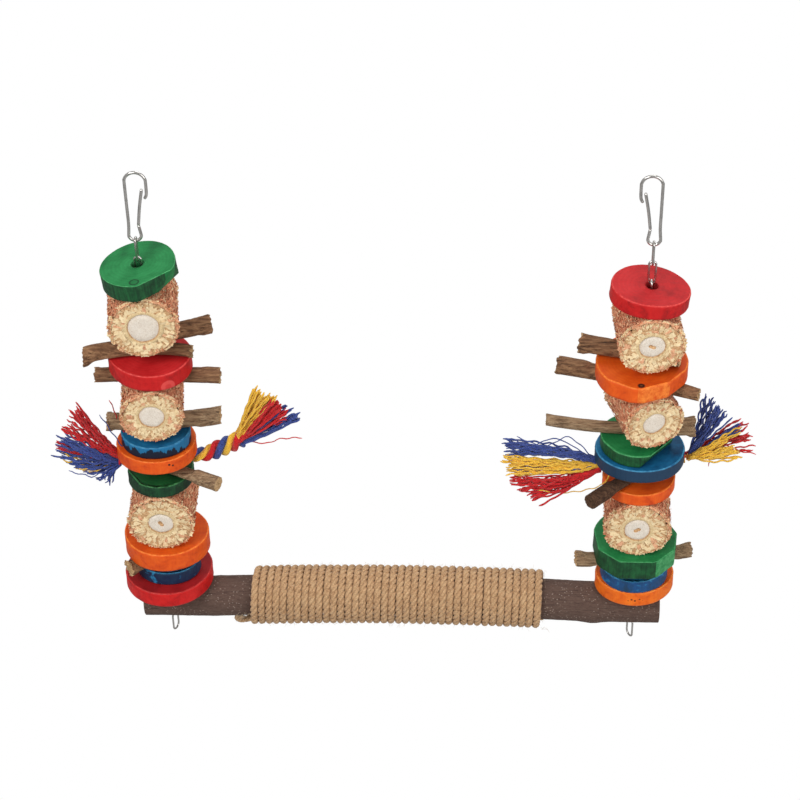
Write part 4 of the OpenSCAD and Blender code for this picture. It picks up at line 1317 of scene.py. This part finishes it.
def jute_tail(out, start):
    """The loose tail at the left end, folded on itself and splitting into fibres."""
    tail = smooth_path([start + [2.0, 0, 0.2], start + [-1.5, -1.2, -0.9], start + [-5.5, -2.6, -1.7],
                        start + [-9.2, -3.6, -0.6], start + [-9.0, -4.0, 1.4], start + [-6.4, -3.8, 2.2]],
                       TAIL_STEPS)
    lay_plies(out, tail, *frames_along(tail), [1.0 - 0.25 * i / (TAIL_STEPS - 1) for i in range(TAIL_STEPS)])
    for _ in range(TAIL_FIBRES):
        way = unit(np.array([rng.uniform(-1, -0.2), rng.uniform(-0.7, 0.5), rng.uniform(-0.5, 0.7)]))
        s = tail[-1] + np.array([rng.uniform(-2.4, 1.0), rng.uniform(-1.2, 1.2), rng.uniform(-2.4, 1.0)])
        length = rng.uniform(1.5, 4.0)
        bend = np.array([0, rng.uniform(-0.4, 0.4), rng.uniform(-0.4, 0.4)])
        hair(out, s, way, length, bend, [0.12, 0.12, 0.11, 0.1, 0.08, 0.03], 1)


def jute_fuzz():
    """Fine hairs all over the winding, and some longer ones by its tail."""
    fuzz = Builder()
    for _ in range(FUZZ_HAIRS):
        a = rng.uniform(0, 2 * math.pi)
        x = rng.uniform(-77, 77)
        out_dir = np.array([0.0, -math.sin(a), -math.cos(a)])
        around = np.array([0.0, -math.cos(a), math.sin(a)])
        s = np.array([x, 0, perch_axis(x)]) + FUZZ_R * out_dir
        way = around * rng.uniform(-1, 1) + np.array([rng.uniform(-1, 1), 0, 0]) * 0.8
        way = unit(way + out_dir * rng.uniform(0.1, 0.7))
        radii = [0.055, 0.05, 0.045, 0.035, 0.015]
        hair(fuzz, s, way, rng.uniform(1.2, 4.0), out_dir * 0.25, radii, reach=0.95)
    for _ in range(LOOSE_FIBRES):
        x = rng.uniform(-86, -78)
        a = rng.uniform(0.2, 1.3)
        s = np.array([x, -PERCH_R * math.cos(a), perch_axis(x) - PERCH_R * math.sin(a)])
        way = unit(np.array([rng.uniform(-1, 0.4), rng.uniform(-0.6, 0.2), rng.uniform(-0.6, 0.6)]))
        hair(fuzz, s, way, rng.uniform(2.5, 7.0), np.array([0, -0.8, -0.3]),
             [0.07, 0.07, 0.06, 0.05, 0.04, 0.02])
    put(fuzz.build("jute_fuzz", [PALE_FIBRE], closed=False), "perch_group", ())


def build_jute():
    out = Builder()
    path, ups, outs = winding()
    lay_plies(out, path, ups, outs, [1] * len(path))
    jute_tail(out, path[0])
    put(out.build("jute_twine", [JUTE, PALE_FIBRE]), "perch_group", ["jute_wrap"])
    jute_fuzz()


build_jute()

# Snap hooks with their gates, chain and rings
ARCH_R = 4.95
EYE_R = 2.95
HOOK_LEN = 32.4
HOOK_WIRE_R = 0.75
WIRE_END_R = 0.55
WIRE_SIDES = 16
HOOK_STEPS = 180
GATE_STEPS = 40
EYE_X = -(ARCH_R - EYE_R * 0.84)
NECK = [EYE_X + EYE_R * 0.72, 0, EYE_R * 2.88 - HOOK_LEN]
GATE_TIP = [ARCH_R * 0.56, 0, -ARCH_R * 0.83]


def arc(x, z, radius, angles):
    return [[x + radius * math.cos(math.radians(a)), 0, z + radius * math.sin(math.radians(a))]
            for a in angles]


def hook_path():
    """The wire from the hook's nose over its arch, down and round the eye, up to the neck."""
    nose = [[ARCH_R * 0.77, 0, -ARCH_R * 1.84], [ARCH_R * 0.97, 0, -ARCH_R * 1.35]]
    shank = [[-ARCH_R, 0, -HOOK_LEN * 0.4], [-ARCH_R, 0, -HOOK_LEN * 0.72]]
    eye = arc(EYE_X, EYE_R - HOOK_LEN, EYE_R, [185 + 18.5 * i for i in range(11)])
    return nose + arc(0, 0, ARCH_R, range(0, 181, 15)) + shank + eye + [NECK]


def gate_path():
    return [NECK, [(NECK[0] + GATE_TIP[0]) / 2 - 0.25, 0, (NECK[2] + GATE_TIP[2]) / 2], GATE_TIP]


def wire_piece(side, word, body, points, count):
    """A bent wire of the hook; the right hook is the left one mirrored."""
    sign = 1 if side == LEFT else -1
    line = smooth_path([[SIDE_X[side] + sign * (p[0] - EYE_X), p[1], p[2] + EYE_Z + HOOK_LEN]
                        for p in points], count)
    r = np.full(len(line), HOOK_WIRE_R)
    r[0] = r[-1] = WIRE_END_R
    out = Builder()
    out.grid(tube_rows(line, r, WIRE_SIDES), 0, caps=(True, True))
    name = f"{side}_{word}"
    put(out.build(name + "_wire", [NICKEL]), body, [name])


for side in SIDE_X:
    wire_piece(side, "hook", "cage_hooks", hook_path(), HOOK_STEPS)
    wire_piece(side, "gate", side + "_gate", gate_path(), GATE_STEPS)
for node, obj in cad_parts.items():
    if node.endswith(("chain", "link", "ring")):
        obj.data.materials.clear()
        obj.data.materials.append(CHAIN_METAL)

# Floor, surroundings and lamps. The camera sees the floor and the surroundings as white, while
# what they throw on the swing is dimmer
FLOOR_HALF = 3.0
FLOOR_Z = -0.75


def show_bright(tree, seen, plain, bright, output):
    """Shows the camera the bright shader, while the plain one lights the scene."""
    both = add_node(tree, "ShaderNodeMixShader", {"Fac": seen, 1: plain, 2: bright})
    feed(tree, tree.nodes[output].inputs["Surface"], both.outputs["Shader"])


def add_floor():
    mesh = bpy.data.meshes.new("floor")
    corners = [(-1, -1), (1, -1), (1, 1), (-1, 1)]
    mesh.from_pydata([(FLOOR_HALF * x, FLOOR_HALF * y, FLOOR_Z) for x, y in corners], [], [(0, 1, 2, 3)])
    floor = bpy.data.objects.new("floor", mesh)
    scene.collection.objects.link(floor)
    white = bpy.data.materials.new("floor_white")
    white.use_nodes = True
    tree = white.node_tree
    bsdf = tree.nodes["Principled BSDF"]
    bsdf.inputs["Base Color"].default_value = (0.5, 0.5, 0.5, 1)
    bsdf.inputs["Roughness"].default_value = 0.9
    glow = add_node(tree, "ShaderNodeEmission", {"Strength": 1.0})
    rays = add_node(tree, "ShaderNodeLightPath").outputs
    show_bright(tree, rays["Is Camera Ray"], bsdf.outputs["BSDF"], glow.outputs["Emission"],
                "Material Output")
    mesh.materials.append(white)


def add_world():
    world = bpy.data.worlds.new("world")
    scene.world = world
    world.use_nodes = True
    tree = world.node_tree
    back = tree.nodes["Background"]
    back.inputs["Color"].default_value = (1, 1, 1, 1)
    back.inputs["Strength"].default_value = 0.46
    bright = add_node(tree, "ShaderNodeBackground", {"Color": (1, 1, 1, 1), "Strength": 1.0})
    rays = add_node(tree, "ShaderNodeLightPath").outputs
    seen = add_node(tree, "ShaderNodeMath", {0: rays["Is Camera Ray"], 1: rays["Is Transmission Ray"]},
                    operation="MAXIMUM")
    show_bright(tree, seen.outputs["Value"], back.outputs["Background"], bright.outputs["Background"],
                "World Output")


def lamp(name, place, target, size, power):
    data = bpy.data.lights.new(name, "AREA")
    data.size = size
    data.energy = power
    obj = bpy.data.objects.new(name, data)
    obj.location = place
    obj.rotation_euler = (Vector(target) - Vector(place)).to_track_quat("-Z", "Y").to_euler()
    scene.collection.objects.link(obj)


add_floor()
add_world()
lamp("key", (-0.7, -0.9, 0.9), (0, 0, -0.2), 0.7, 12.5)
lamp("fill", (0.9, -0.8, 0.3), (0, 0, -0.2), 0.9, 7)
lamp("back", (0.2, 0.9, 0.9), (0, 0, -0.15), 0.8, 6)

scene.view_settings.view_transform = "Standard"
